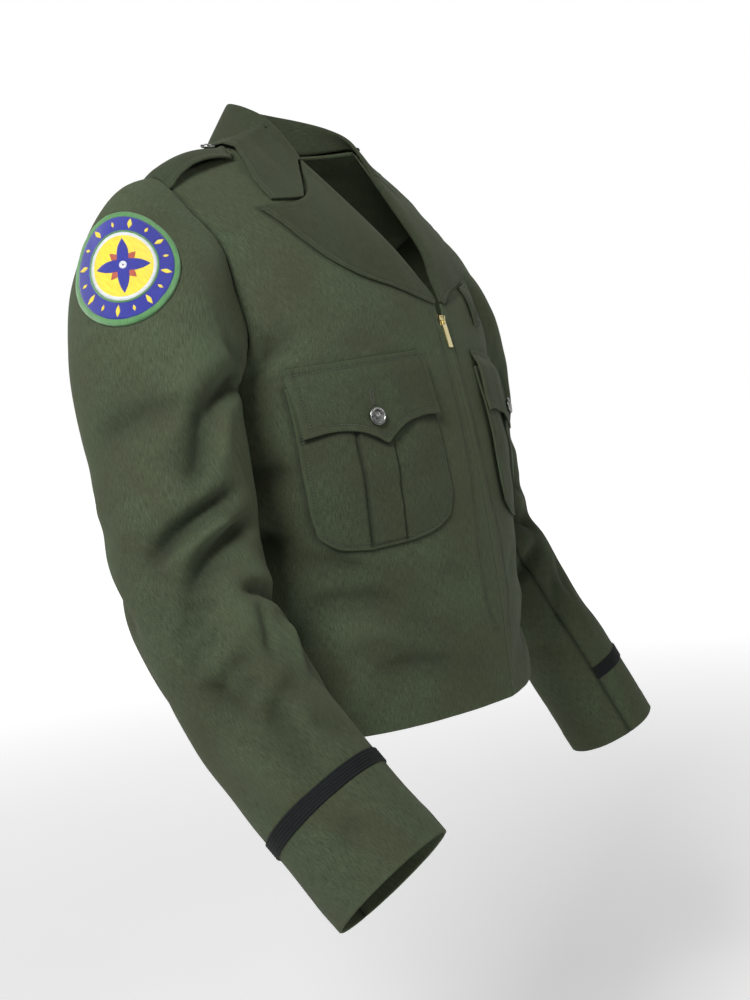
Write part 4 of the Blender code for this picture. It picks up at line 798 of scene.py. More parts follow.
def add_values(thing, name, values):
    layer = thing.data.attributes.new(name, "FLOAT", "POINT")
    layer.data.foreach_set("value", np.asarray(values, np.float32).ravel())


def add_weave_map(thing, across, along):
    """UV map in centimetres over the cloth, so that the weave follows its grain."""
    spots = np.stack([across.ravel(), along.ravel()], -1)
    corner = np.empty(len(thing.data.loops), int)
    thing.data.loops.foreach_get("vertex_index", corner)
    layer = thing.data.uv_layers.new(name="weave")
    layer.data.foreach_set("uv", spots[corner].astype(np.float32).ravel())


def quads(ids):
    """Faces of a grid from its points' numbers."""
    return np.stack([ids[:-1, :-1], ids[:-1, 1:], ids[1:, 1:], ids[1:, :-1]], -1).reshape(-1, 4)


def shell(name, outside, inside, material, wear=None, wrap=False, grain=None, painted_shading=None, keep=None):
    """Closed cloth piece between two grids of points in metres, walled round what is kept of them."""
    rows, columns = outside.shape[:2]
    count = rows * columns
    ids = np.arange(count).reshape(rows, columns)
    if wrap:
        ids = np.concatenate([ids, ids[:, :1]], axis=1)
    skin = quads(ids)
    if keep is not None:
        skin = skin[keep.ravel()]
    a, b = skin.ravel(), np.roll(skin, -1, axis=1).ravel()
    rim = ~np.isin(a * count + b, b * count + a)
    a, b = a[rim], b[rim]
    faces = [skin, skin[:, ::-1] + count, np.stack([b, a, a + count, b + count], -1)]
    thing = thing_from(name, np.concatenate([outside.reshape(-1, 3), inside.reshape(-1, 3)]),
                       np.concatenate(faces), material)
    away = from_edges(outside / CM)
    across, along = grain if grain else (away["first column"], away["first row"])
    if not grain:
        across = across - across[:, columns // 2][:, None]
    add_weave_map(thing, np.concatenate([across, across]), np.concatenate([along, along]))
    worn = np.zeros(outside.shape[:2]) if wear is None else wear
    add_values(thing, "wear", np.concatenate([worn, worn]))
    if painted_shading is not None:
        add_values(thing, "painted_shading", np.concatenate([painted_shading, painted_shading]))
    return thing


def line_inside(grid, ways, edge, distance):
    """Line on a grid at a distance in from one of its edges, with its normals."""
    away = from_edges(grid)[edge]
    if "column" in edge:
        grid, ways, away = (np.swapaxes(x, 0, 1) for x in (grid, ways, away))
    if "last" in edge:
        grid, ways, away = grid[::-1], ways[::-1], away[::-1]
    line = []
    turn = []
    for k in range(grid.shape[1]):
        at = [np.interp(distance, away[:, k], grid[:, k, axis]) for axis in range(3)]
        line.append(at)
        turn.append([np.interp(distance, away[:, k], ways[:, k, axis]) for axis in range(3)])
    return np.array(line), unit(np.array(turn))


def stitch_shapes(line, ways, pitch, length, radius):
    """Small beads of thread along a line, all in metres."""
    run = np.insert(np.cumsum(np.linalg.norm(np.diff(line, axis=0), axis=-1)), 0, 0)
    starts = np.arange(pitch, run[-1] - pitch / 2, pitch)
    middle = np.stack([np.interp(starts, run, line[:, k]) for k in range(3)], -1)
    ahead = np.stack([np.interp(starts + length / 2, run, line[:, k]) for k in range(3)], -1)
    up = unit(np.stack([np.interp(starts, run, ways[:, k]) for k in range(3)], -1))
    along = unit(ahead - middle)
    aside = unit(np.cross(along, up))
    points = [middle - along * length / 2 - up * radius / 2, middle + along * length / 2 - up * radius / 2]
    for part in (-length / 4, length / 4):
        for way in (up, aside, -up, -aside):
            points.append(middle + along * part + way * radius)
    shape = [(0, 3, 2), (0, 4, 3), (0, 5, 4), (0, 2, 5), (1, 6, 7), (1, 7, 8), (1, 8, 9), (1, 9, 6)]
    for k in range(4):
        n = (k + 1) % 4
        shape += [(2 + k, 2 + n, 6 + n), (2 + k, 6 + n, 6 + k)]
    points = np.stack(points, 1)
    offsets = np.arange(len(points))[:, None, None] * points.shape[1]
    return points.reshape(-1, 3), (np.array(shape)[None] + offsets).reshape(-1, 3)


def sewn(name, rows, material, pitch=STITCH_PITCH, length=STITCH_LENGTH, radius=STITCH_RADIUS):
    """One piece of all the stitches along some lines, each a line and its normals in metres."""
    points = []
    faces = []
    count = 0
    for line, ways in rows:
        if len(line) < 2:
            continue
        more, ends = stitch_shapes(line, ways, pitch * CM, length * CM, radius * CM)
        points.append(more)
        faces.append(ends + count)
        count += len(more)
    thing = thing_from(name, np.concatenate(points), np.concatenate(faces), material)
    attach(thing, "jacket")
    return thing


def cloth(thing, nodes):
    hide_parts(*nodes)
    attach(thing, "jacket")


# Materials

class Graph:
    """Short way to add and join shader nodes."""

    def __init__(self, name, colour, roughness, **shader):
        self.material = bpy.data.materials.new(name)
        self.material.use_nodes = True
        self.tree = self.material.node_tree
        self.shader = self.tree.nodes["Principled BSDF"]
        self.shader.inputs["Base Color"].default_value = (*colour, 1)
        self.shader.inputs["Roughness"].default_value = roughness
        for socket, value in shader.items():
            self.shader.inputs[socket.replace("_", " ")].default_value = value

    def node(self, kind, inputs=(), **settings):
        made = self.tree.nodes.new("ShaderNode" + kind)
        for setting, value in settings.items():
            setattr(made, setting, value)
        for socket, value in dict(inputs).items():
            if isinstance(value, bpy.types.NodeSocket):
                self.tree.links.new(value, made.inputs[socket])
            else:
                made.inputs[socket].default_value = value
        return made

    def stretched(self, vector, scale):
        return self.node("Mapping", {"Vector": vector, "Scale": scale}).outputs["Vector"]

    def noise(self, vector, scale, detail=2.0, rough=0.5):
        made = self.node("TexNoise", {"Vector": vector, "Scale": scale, "Detail": detail,
                                      "Roughness": rough})
        return made.outputs["Fac"]

    def waves(self, vector, scale, distortion=0.0, direction="X"):
        made = self.node("TexWave", {"Vector": vector, "Scale": scale, "Distortion": distortion},
                         bands_direction=direction)
        return made.outputs["Fac"]

    def maths(self, operation, a, b=0.0, c=0.0):
        made = self.node("Math", {0: a, 1: b, 2: c}, operation=operation)
        return made.outputs[0]

    def spread(self, value, low, high, to_low=0.0, to_high=1.0):
        made = self.node("MapRange", {"Value": value, "From Min": low, "From Max": high, "To Min": to_low,
                                      "To Max": to_high})
        return made.outputs["Result"]

    def mixed(self, share, one, other, mode="MIX"):
        made = self.node("Mix", data_type="RGBA", blend_type=mode)
        for socket, value in ((0, share), (6, one), (7, other)):
            if isinstance(value, bpy.types.NodeSocket):
                self.tree.links.new(value, made.inputs[socket])
            elif socket:
                made.inputs[socket].default_value = (*value, 1)
            else:
                made.inputs[socket].default_value = value
        return made.outputs[2]

    def attribute(self, name):
        return self.node("Attribute", attribute_name=name).outputs["Fac"]

    def weave_map(self):
        return self.node("UVMap", uv_map="weave").outputs["UV"]

    def object_place(self):
        return self.node("TexCoord").outputs["Object"]

    def finish(self, colour=None, roughness=None, height=None, distance=0.0003, strength=0.6):
        if colour is not None:
            self.tree.links.new(colour, self.shader.inputs["Base Color"])
        if roughness is not None:
            self.tree.links.new(roughness, self.shader.inputs["Roughness"])
        if height is not None:
            relief = self.node("Bump", {"Height": height, "Distance": distance, "Strength": strength})
            self.tree.links.new(relief.outputs["Normal"], self.shader.inputs["Normal"])
        return self.material


GREEN = (0.020, 0.030, 0.016)
BROWN = (0.045, 0.041, 0.021)
GREY_GREEN = (0.064, 0.086, 0.048)
# Paler green of worn edges, and also of the painted highlight on ridges
WEAR_AND_HIGHLIGHT_GREEN = (0.074, 0.102, 0.056)
# Painted shade in folds and round seams: its colour and how much of it at full; then how much painted
# highlight on ridges
SHADED_GREEN = (0.007, 0.010, 0.006)
PAINTED_SHADE_MIX = 0.80
RIDGE_LIGHT = 0.45
# How often slubs of either thread come, across and along, in a centimetre
WARP_SLUBS = (22.0, 1.3, 1.0)
WEFT_SLUBS = (1.8, 24.0, 1.0)


# A colour times a factor: in wool() the factor is painted shade on a whole piece, in thread() a darker
# random tone
def scaled_colour(colour, light):
    return tuple(c * light for c in colour)


def wool(name, light=1.0):
    """Heathered wool: slubs along both threads, fine grain, slow shifts of tone and paler worn edges, with
    painted shade in folds and round seams and a painted highlight on ridges; light below 1 darkens its
    colours into a shaded copy, painted shade on a whole piece.
    """
    graph = Graph(name, GREEN, 0.9, Sheen_Weight=0.06, Sheen_Roughness=0.5, Sheen_Tint=(0.62, 0.70, 0.45, 1),
                  Specular_IOR_Level=0.18)
    spot = graph.weave_map()
    warp = graph.noise(graph.stretched(spot, WARP_SLUBS), 1.0, 4.0, 0.70)
    weft = graph.noise(graph.stretched(spot, WEFT_SLUBS), 1.0, 4.0, 0.70)
    grain = graph.noise(spot, 28.0, 3.0, 0.75)
    cloud = graph.noise(spot, 0.14, 3.0)
    ribs = graph.waves(graph.stretched(spot, (1.0, 0.55, 1.0)), 4.2, 0.8, "DIAGONAL")
    heather = graph.spread(graph.maths("MULTIPLY_ADD", weft, 0.50, warp), 0.61, 0.90)
    fibre = graph.mixed(heather, scaled_colour(GREEN, light), scaled_colour(GREY_GREEN, light))
    fibre = graph.mixed(graph.spread(grain, 0.48, 0.74, 0.0, 0.65), fibre, scaled_colour(BROWN, light))
    fibre = graph.mixed(graph.spread(cloud, 0.35, 0.68, 0.0, 0.5), fibre, scaled_colour(BROWN, light * 0.75))
    worn = graph.spread(graph.attribute("wear"), 0.0, 1.0, 0.0, 0.20)
    fibre = graph.mixed(worn, fibre, scaled_colour(WEAR_AND_HIGHLIGHT_GREEN, light))
    # Painted shade read from the attribute, in folds and round seams, and below zero a painted highlight on
    # ridges
    painted_shading = graph.attribute("painted_shading")
    fibre = graph.mixed(graph.spread(painted_shading, 0.0, PAINTED_SHADING_RANGE[1], 0.0, PAINTED_SHADE_MIX), fibre, SHADED_GREEN)
    ridge = graph.spread(painted_shading, 0.0, PAINTED_SHADING_RANGE[0], 0.0, RIDGE_LIGHT)
    fibre = graph.mixed(ridge, fibre, scaled_colour(WEAR_AND_HIGHLIGHT_GREEN, light))
    fuzz = graph.maths("MULTIPLY_ADD", ribs, 0.25, graph.maths("MULTIPLY_ADD", warp, 0.8, grain))
    rough = graph.spread(grain, 0.3, 0.7, 0.80, 0.96)
    return graph.finish(fibre, rough, fuzz, 0.0004, 0.5)


def thread(name, colour):
    graph = Graph(name, colour, 0.6, Sheen_Weight=0.2)
    twist = graph.waves(graph.object_place(), 900.0, 1.0, "DIAGONAL")
    tone = graph.noise(graph.object_place(), 260.0)
    return graph.finish(graph.mixed(graph.spread(tone, 0.3, 0.7), scaled_colour(colour, 0.7), colour),
                        graph.spread(tone, 0.3, 0.7, 0.5, 0.7), twist, 0.0001)


def braid_cloth(name):
    graph = Graph(name, (0.008, 0.010, 0.010), 0.75, Sheen_Weight=0.0, Specular_IOR_Level=0.12)
    spot = graph.weave_map()
    plait = graph.waves(graph.stretched(spot, (1.0, 1.0, 1.0)), 4.0, 0.3, "X")
    tone = graph.noise(spot, 8.0, 2.0)
    colour = graph.mixed(graph.spread(tone, 0.3, 0.75), (0.004, 0.005, 0.005), (0.013, 0.016, 0.016))
    return graph.finish(colour, graph.spread(tone, 0.3, 0.7, 0.55, 0.8), plait, 0.0004, 0.5)


def metal(name, colour, worn, roughness, scale):
    graph = Graph(name, colour, roughness, Metallic=1.0)
    spot = graph.object_place()
    scratch = graph.noise(graph.stretched(spot, (1.0, 1.0, 6.0)), scale, 4.0, 0.65)
    cloud = graph.noise(spot, scale / 8, 2.0)
    shade = graph.mixed(graph.spread(cloud, 0.35, 0.7), colour, worn)
    return graph.finish(shade, graph.spread(scratch, 0.3, 0.75, roughness * 0.7, roughness * 1.4), scratch,
                        0.00008, 0.35)


def embroidery(name, colour, deep, angle, shine=0.25):
    """Satin stitches: fine parallel ridges of thread in one direction, with painted shade in the grooves
    between them and random tone along the threads.
    """
    graph = Graph(name, colour, 0.5, Sheen_Weight=shine, Specular_IOR_Level=0.4)
    turned = graph.node("Mapping", {"Vector": graph.weave_map(), "Rotation": (0, 0, math.radians(angle))})
    ridge = graph.waves(turned.outputs["Vector"], 5.5, 0.5, "X")
    tone = graph.noise(graph.stretched(turned.outputs["Vector"], (9.0, 1.2, 1.0)), 1.0, 2.0)
    # Painted shade in the grooves between the ridges, mixed with random tone, toward the deep colour
    shade = graph.maths("MULTIPLY_ADD", ridge, 0.35, graph.maths("MULTIPLY", tone, 0.65))
    return graph.finish(graph.mixed(graph.spread(shade, 0.25, 0.7), deep, colour),
                        graph.spread(tone, 0.3, 0.7, 0.42, 0.62), ridge, 0.0003, 0.7)


# Shaded copies of the same wool, painted shade: darker on the collar, lapels, epaulets and badge tab, on the
# pockets and flaps, and on the zip tape
WOOL = wool("jacket_wool")
SHADED_TRIM_WOOL = wool("shaded_trim_wool", 0.64)
SHADED_POCKET_WOOL = wool("shaded_pocket_wool", 0.80)
THREAD = thread("green_thread", (0.040, 0.050, 0.030))
HOLE_THREAD = thread("buttonhole_thread", (0.030, 0.036, 0.022))
BRAID_CLOTH = braid_cloth("sleeve_braid")
SHADED_TAPE_WOOL = wool("zip_tape_cloth", 0.6)
BRASS = metal("zip_brass", (0.83, 0.70, 0.34), (0.93, 0.84, 0.52), 0.24, 900.0)
GUNMETAL = metal("button_metal", (0.11, 0.115, 0.11), (0.36, 0.36, 0.34), 0.30, 700.0)
EDGE_GREEN = embroidery("patch_edge", (0.085, 0.24, 0.075), (0.03, 0.11, 0.035), 0)
FIELD_BLUE = embroidery("patch_blue", (0.020, 0.026, 0.30), (0.008, 0.010, 0.13), 35)
STAR_YELLOW = embroidery("patch_yellow", (0.82, 0.62, 0.04), (0.50, 0.33, 0.02), -40)
HILL_RED = embroidery("patch_red", (0.42, 0.085, 0.045), (0.20, 0.035, 0.02), 80)
CLOUD_WHITE = embroidery("patch_white", (0.62, 0.64, 0.62), (0.36, 0.40, 0.44), 90)


# Body

def make_fronts():
    """Both fronts, with hem, fly stitching and seams."""
    s, level = np.meshgrid(spaced(PANEL_COLUMNS, first_edge=True), 2 * spaced(PANEL_ROWS, first_edge=True))
    grid = front(s, level)
    ways = -grid_normals(grid)
    ways *= np.sign((ways * np.array((0, 1.0, 0))).sum(-1).mean())
    fly = spline(FLY, grid[..., 2])[..., 0]
    beside = grid[..., 0] - fly
    on_fly = smooth((grid[..., 2] + 48.0) / 0.6) * smooth((-19.5 - grid[..., 2]) / 0.8)
    relief = on_fly * (FLY_RISE * smooth(-beside / 0.2) - FLY_GROOVE * bump(beside / FLY_GROOVE_WIDTH))
    low = from_edges(grid)["first row"]
    relief = relief + HEM_RISE * smooth((HEM_WIDTH - low) / 0.3)
    outside, inside, wear = tailored(grid, ways, CLOTH, ("last row", "last column"),
                                     ("first row", "first column"), relief)
    edges = ("last row", "last column")
    outside = drawn_back(outside, edges)
    inside = drawn_back(inside, edges)
    lift = np.zeros_like(outside)
    lift[..., 0] = FRONT_GAP / 2
    wear = wear * np.where(level > ROLL_LEVELS[0], 0.0, 1.0)
    away = from_edges(grid)
    # Painted shade in the folds, beside the seams, along the fly stitching, under the lapel's edge and round
    # the pocket, and painted highlight on ridges
    dark = painted_fold_shading("front", "panel", s, level) * (1 - POCKET_HOLDS * held_flat(s, level))
    dark = dark + seam_shade(away["last row"]) + seam_shade(away["last column"])
    dark = dark + 0.4 * on_fly * bump(beside / 0.2)
    outline = outline_of_pocket()
    q = np.linspace(0, 1, 60)
    lapel_line = np.concatenate([spline(LAPEL_EDGE, q), spline(LAPEL_TOP, q[::-1])])[:, ::2]
    dark = dark + seam_shade(distance_to(lapel_line, grid[..., 0], grid[..., 2]))
    up = np.linspace(*FLY_SEWN, 150)
    spots, turn = front_at(spline(FLY, up)[..., 0], up)
    spots = spots + turn * 0.01
    for name, side in SIDES:
        out = place(side, outside + lift)
        round_pocket = distance_to(outline, grid[..., 0] - POCKET_SHIFT[name], grid[..., 2])
        painted_shading = np.clip(dark + seam_shade(round_pocket), *PAINTED_SHADING_RANGE)
        thing = shell("front_%s_cloth" % name, out, place(side, inside + lift), WOOL, wear, painted_shading=painted_shading)
        sew = sewn("fly_stitches_" + name, [(place(side, spots), turned_normals(side, turn))], THREAD)
        cloth(thing, ["front_" + name])


def make_back():
    s, level = np.meshgrid(spaced(PANEL_COLUMNS), 2 * spaced(PANEL_ROWS, first_edge=True))
    grid = back(s, level)
    ways = grid_normals(grid)
    ways *= np.sign((ways * np.array((0, -1.0, 0))).sum(-1).mean())
    low = from_edges(grid)["first row"]
    relief = HEM_RISE * smooth((HEM_WIDTH - low) / 0.3)
    outside, inside, wear = tailored(grid, ways, CLOTH, ("last row", "last column"), ("first row",), relief)
    neck = grid[:, 0, 0] > NECK_OPENS
    halves = []
    for face in (outside, inside):
        face = drawn_back(face, ("last row", "last column"))
        left = place(LEFT, face)
        left[neck, 1] = left[neck, 0]
        halves.append(np.concatenate([place(RIGHT, face)[:, ::-1], left[:, 1:]], axis=1))
    keep = np.ones((grid.shape[0] - 1, halves[0].shape[1] - 1), bool)
    keep[:, grid.shape[1] - 1] = ~neck[1:]
    wear = np.concatenate([wear[:, ::-1], wear[:, 1:]], axis=1)
    away = from_edges(grid)
    # Painted shade in the folds and beside the seams, and painted highlight on ridges
    dark = painted_fold_shading("back", "panel", s, level)
    dark = dark + seam_shade(away["last row"]) + seam_shade(away["last column"])
    dark = np.clip(np.concatenate([dark[:, ::-1], dark[:, 1:]], axis=1), *PAINTED_SHADING_RANGE)
    thing = shell("back_cloth", halves[0], halves[1], WOOL, wear, painted_shading=dark, keep=keep)
    cloth(thing, ["back"])


def make_sleeves():
    for name, side in SIDES:
        for piece, first, last in (("top", TURN_HIND_SEAM - 1, TURN_FRONT_SEAM),
                                   ("under", TURN_FRONT_SEAM, TURN_HIND_SEAM)):
            columns = round(SLEEVE_ROUND * (last - first))
            turn, along = np.meshgrid(first + (last - first) * spaced(columns),
                                      2 * spaced(SLEEVE_ROWS, last_edge=True))
            grid = sleeve(name, turn, along)
            ways = grid_normals(grid)
            centre = spline(ARMS[name], np.maximum(along - 1, 0))[..., :3]
            ways *= np.sign(((grid - centre) * ways).sum(-1).mean())
            head = from_edges(grid)["first row"]
            near_top = smooth((0.26 - np.abs((turn + 0.5) % 1.0 - 0.5)) / 0.14)
            relief = HEAD_ROLL * near_top * bump((head - 0.75) / 0.55)
            relief = relief + HEM_RISE * smooth((HEM_WIDTH - from_edges(grid)["last row"]) / 0.3)
            seams = ("first row", "first column", "last column")
            outside, inside, wear = tailored(grid, ways, CLOTH, seams, ("last row",), relief)
            outside, inside = (drawn_back(face, seams) for face in (outside, inside))
            away = from_edges(grid)
            # Painted shade in the folds and beside the seams, and painted highlight on ridges
            dark = painted_fold_shading(name, "sleeve", turn, along) + sum(seam_shade(away[edge]) for edge in seams)
            thing = shell("sleeve_%s_%s_cloth" % (piece, name), place(side, outside), place(side, inside),
                          WOOL, wear, painted_shading=np.clip(dark, *PAINTED_SHADING_RANGE))
            cloth(thing, ["sleeve_%s_%s" % (piece, name)])


def front_at(across, up):
    """Points and normals of the front where it is seen from ahead at these places."""
    across, up = np.broadcast_arrays(np.asarray(across, float), np.asarray(up, float))
    s = np.clip(across / FRONT_WIDE, 0.02, 0.98)
    level = 1 + (up - LEVEL_ONE_UP) / np.where(up < LEVEL_ONE_UP, LOWER_TALL, UPPER_TALL)
    small = 1e-3
    for surface, turns in ((plain_front, 5), (front, 2)):
        for _ in range(turns):
            point = surface(s, level)
            wrong = np.stack([across - point[..., 0], up - point[..., 2]], -1)
            by_s = (surface(s + small, level) - point)[..., ::2] / small
            by_level = (surface(s, level + small) - point)[..., ::2] / small
            area = by_s[..., 0] * by_level[..., 1] - by_s[..., 1] * by_level[..., 0]
            area = np.where(np.abs(area) < 1e-6, 1e-6, area)
            s = s + (wrong[..., 0] * by_level[..., 1] - wrong[..., 1] * by_level[..., 0]) / area
            level = level + (by_s[..., 0] * wrong[..., 1] - by_s[..., 1] * wrong[..., 0]) / area
            s = np.clip(s, 0.0, 1.0 - small)
            level = np.clip(level, 0.0, 2.0 - small)
    return front(s, level), normals_of(front, s, level, (0, 1), (0, 2))


def turned_normals(side, ways):
    """Normals of one half, in the part's own axes."""
    return unit(ways * np.array((side, -1.0, 1.0)))


# Search trees for what lies on the cloth

def tree_of(grids):
    points = []
    faces = []
    for grid in grids:
        base = len(points)
        rows, columns = grid.shape[:2]
        points += [Vector(point) for point in grid.reshape(-1, 3)]
        faces += quads(base + np.arange(rows * columns).reshape(rows, columns)).tolist()
    return BVHTree.FromPolygons(points, faces)


def body_tree(with_sleeve=False):
    s, level = np.meshgrid(np.linspace(0, 1, 61), np.linspace(0, 2, 141))
    grids = [front(s, level), back(s, level)]
    if with_sleeve:
        turn, along = np.meshgrid(np.linspace(-0.3, 0.3, 61), np.linspace(0, 0.5, 41))
        grids.append(sleeve("right", turn, along))
    return tree_of(grids)


def sleeve_tree(name):
    turn, along = np.meshgrid(np.linspace(-0.5, 0.5, 121), np.linspace(0, 2, 161))
    return tree_of([sleeve(name, turn, along)])


def foot(tree, point, outward):
    """Nearest surface point and its normal, turned to the given side."""
    spot, way = tree.find_nearest(Vector(point))[:2]
    spot = np.array(spot)
    way = np.array(way)
    return spot, way if way @ np.array(outward) > 0 else -way


def body_outward(point):
    return unit(np.array((point[0] * 0.6, point[1], max(point[2] + 14, 0) * 0.8)))


def lay(tree, point, height):
    spot, way = foot(tree, point, body_outward(point))
    return spot + way * height


def keep_off(tree, point, height):
    spot, way = foot(tree, point, body_outward(point))
    over = (point - spot) @ way
    return point if over >= height else spot + way * height


def resampled(grid, rows, columns):
    """Smooth surface through a coarse grid's points, read at shares of its rows and columns."""
    count, width = grid.shape[:2]
    flat = np.column_stack([np.linspace(0, 1, count), grid.reshape(count, -1)])
    grid = spline(flat, rows).reshape(len(rows), width, 3)
    turned = np.swapaxes(grid, 0, 1).reshape(width, -1)
    flat = np.column_stack([np.linspace(0, 1, width), turned])
    return np.swapaxes(spline(flat, columns).reshape(len(columns), len(rows), 3), 0, 1)


def roll_line(t):
    return ROLL_LEVELS[0] + (ROLL_LEVELS[1] - ROLL_LEVELS[0]) * t


def lapel_spot(edge, rim, share, t):
    bend = spline(LAPEL_TOP, share)
    bend = bend - spline(LAPEL_TOP, 0) * (1 - share) - spline(LAPEL_TOP, 1) * share
    return edge + (rim - edge) * share + bend * t * t


def roll_frame(t):
    """Point of the roll line, the way in over the front and the way up off it."""
    level = np.array(roll_line(t))
    edge = front(np.array(0.0), level)
    inward = unit(front(np.array(0.06), level) - edge)
    rise = normals_of(front, np.array(0.0), level, (0, 1), (0, 2))
    return edge, inward, rise


def cornered(rows, share):
    """Read an outline's table mostly on straight lines between its points."""
    table = np.array(rows, float)
    straight = np.stack([np.interp(share, table[:, 0], table[:, k]) for k in (1, 2, 3)], -1)
    return straight * CORNERED + spline(rows, share) * (1 - CORNERED)


def lapel_grid(tree, rise_of_edge):
    grid = []
    for t in np.linspace(0, 1, LAPEL_ROWS + 1):
        edge, inward, rise = roll_frame(t)
        rim = spline(LAPEL_EDGE, t)
        rim = rim + np.array((0, 0, rise_of_edge * smooth(t / 0.2) * smooth((1 - t) / 0.5)))
        width = np.linalg.norm(rim - edge)
        scale = min(1.0, 0.45 + 0.55 * width / LAPEL_FULL_ROLL)
        row = []
        for distance, height in ROLL:
            if distance <= 0:
                row.append(edge + (inward * distance + rise * height) * scale)
            else:
                share = distance / ROLL_DEPTH * min(LAPEL_SHARES[0] * 0.625, ROLL_DEPTH / width)
                row.append(lay(tree, lapel_spot(edge, rim, share, t), height * scale))
        for share in LAPEL_SHARES:
            settle = smooth((share - 0.2) / 0.5)
            height = ROLL[-1][1] * (1 - settle) + LAPEL_HEIGHT * settle
            height = height + (LAPEL_EDGE_HEIGHT - LAPEL_HEIGHT) * smooth((share - 0.8) / 0.2)
            row.append(lay(tree, lapel_spot(edge, rim, share, t), height * scale))
        grid.append(row)
    rows, columns = (spaced(count, last_edge=True) for count in LAPEL_GRID)
    return resampled(np.array(grid), rows, columns)


def make_lapels(tree):
    for name, side in SIDES:
        make_lapel(name, side, lapel_grid(tree, LAPEL_EDGE_RISE[name]))


def make_lapel(name, side, grid):
    ways = grid_normals(grid)
    ways *= np.sign((ways[:, -30:] * np.array((0.2, 1.0, 0.3))).sum(-1).mean())
    away = from_edges(grid)
    relief = -STITCH_DIP * bump((away["last column"] - COLLAR_STITCH) / STITCH_DIP_WIDTH)
    relief = relief - STITCH_DIP * bump((away["last row"] - COLLAR_STITCH) / STITCH_DIP_WIDTH)
    outside, inside, wear = tailored(grid, ways, CLOTH * 0.9, (), ("last column", "last row"), relief)
    outside, inside = (drawn_back(face, ("last row",), GORGE_GAP / 2) for face in (outside, inside))
    out = place(side, outside)
    turn = turned_normals(side, ways)
    thing = shell("lapel_%s_cloth" % name, out, place(side, inside), SHADED_TRIM_WOOL, wear)
    rows = [line_inside(out, turn, "last column", COLLAR_STITCH * CM)]
    sew = sewn("lapel_stitches_" + name, rows, THREAD)
    cloth(thing, ["lapel_" + name])


def over_epaulet(point):
    near = 1 - smooth((abs(point[1] - EPAULET_MIDDLE) - EPAULET_HALF[1] - 1.2) / 2.4)
    return COLLAR_LIFT * near * smooth((point[0] - EPAULET_ACROSS[1] + 2.6) / 2.0)


def make_collar(tree):
    gorge, inward, rise = roll_frame(1.0)
    up = np.array((0, 0, 1.0))
    grid = []
    for i in range(COLLAR_STATIONS + 1):
        c = i / COLLAR_STATIONS
        row = spline(COLLAR, c)
        seam, fold, rim = row[:3], row[3:6], row[6:9]
        out = rim - fold
        out[2] = 0
        out = unit(out) if i < COLLAR_STATIONS else np.array((0, -1.0, 0))
        standing = [seam, (seam + fold) / 2, fold]
        standing += [fold + out * distance + up * height for distance, height in COLLAR_FOLD]
        rolled = [gorge + inward * distance + rise * height for distance, height in COLLAR_ROLL]
        blend = smooth(c / 0.22)
        path = [a * (1 - blend) + b * blend for a, b in zip(rolled, standing)]
        start = path[-1]
        fall = start + (out * 0.9 - up * 1.3) * blend + (rim - start) * 0.33 * (1 - blend)
        near = rim - (rim - start) * 0.30 + up * 0.5 * blend
        for share in COLLAR_SHARES:
            bend = cornered(COLLAR_FRONT, share)
            bend = bend - spline(COLLAR_FRONT, 0) * (1 - share) - spline(COLLAR_FRONT, 1) * share
            spot = bezier(start, fall, near, rim, share) + bend * max(1 - c / 0.4, 0) ** 2
            height = LAPEL_HEIGHT + (COLLAR_HEIGHT - LAPEL_HEIGHT) * smooth((c - 0.12) / 0.12)
            path.append(keep_off(tree, spot, height + over_epaulet(spot)))
        grid.append(path)
    grid = np.array(grid)
    grid[-1, :, 0] = 0
    mirrored = grid[::-1][1:] * np.array((-1.0, 1, 1))
    whole = np.concatenate([grid, mirrored])
    whole = resampled(whole, spaced(COLLAR_GRID[0], True, True), spaced(COLLAR_GRID[1], last_edge=True))
    ways = grid_normals(whole)
    ways *= np.sign(ways[:, -16:, 2].mean())
    away = from_edges(whole)
    relief = -STITCH_DIP * bump((away["last column"] - COLLAR_STITCH) / STITCH_DIP_WIDTH)
    outside, inside, wear = tailored(whole, ways, CLOTH * 0.95, (), ("first row", "last row", "last column"),
                                     relief)
    edges = ("first row", "last row")
    outside, inside = (drawn_back(face, edges, GORGE_GAP / 2) for face in (outside, inside))

    def both(points):
        """The first half of the rows lies on the right, the second on the left."""
        sides = np.where(points[..., :1] >= 0, RIGHT, LEFT)
        right = place(RIGHT, points)
        left = place(LEFT, points * np.array((-1.0, 1, 1)))
        return np.where(sides == RIGHT, right, left)

    out = both(outside)
    thing = shell("collar_cloth", out, both(inside), SHADED_TRIM_WOOL, wear)
    turn = grid_normals(out)
    turn *= np.sign(turn[:, -16:, 2].mean())
    sew = sewn("collar_stitches", [line_inside(out, turn, "last column", COLLAR_STITCH * CM)], THREAD)
    cloth(thing, ["collar"])


# Pockets

def seam_shade(distance):
    """Shade in the groove beside a seam or a sewn-on edge, at a distance in centimetres."""
    return SEAM_SHADE * bump(distance / SEAM_SHADE_WIDTH)


def outline_of_pocket():
    q = np.linspace(0, 1, 140)
    edge = spline(POCKET, q)
    return np.concatenate([edge[:, :2], edge[::-1, 2:4]])


def distance_to(line, x, y):
    """Distance in plan from each place to a line of points."""
    a = line[:-1]
    b = line[1:]
    spot = np.stack([x, y], -1)[..., None, :]
    run = b - a
    share = ((spot - a) * run).sum(-1) / np.maximum((run * run).sum(-1), 1e-9)
    near = a + run * np.clip(share, 0, 1)[..., None]
    return np.linalg.norm(spot - near, axis=-1).min(-1)


def pleat_edges(up):
    return (PLEAT_INNER[0] + PLEAT_INNER[1] * (up - PLEAT_FOOT),
            PLEAT_OUTER[0] + PLEAT_OUTER[1] * (up - PLEAT_FOOT))


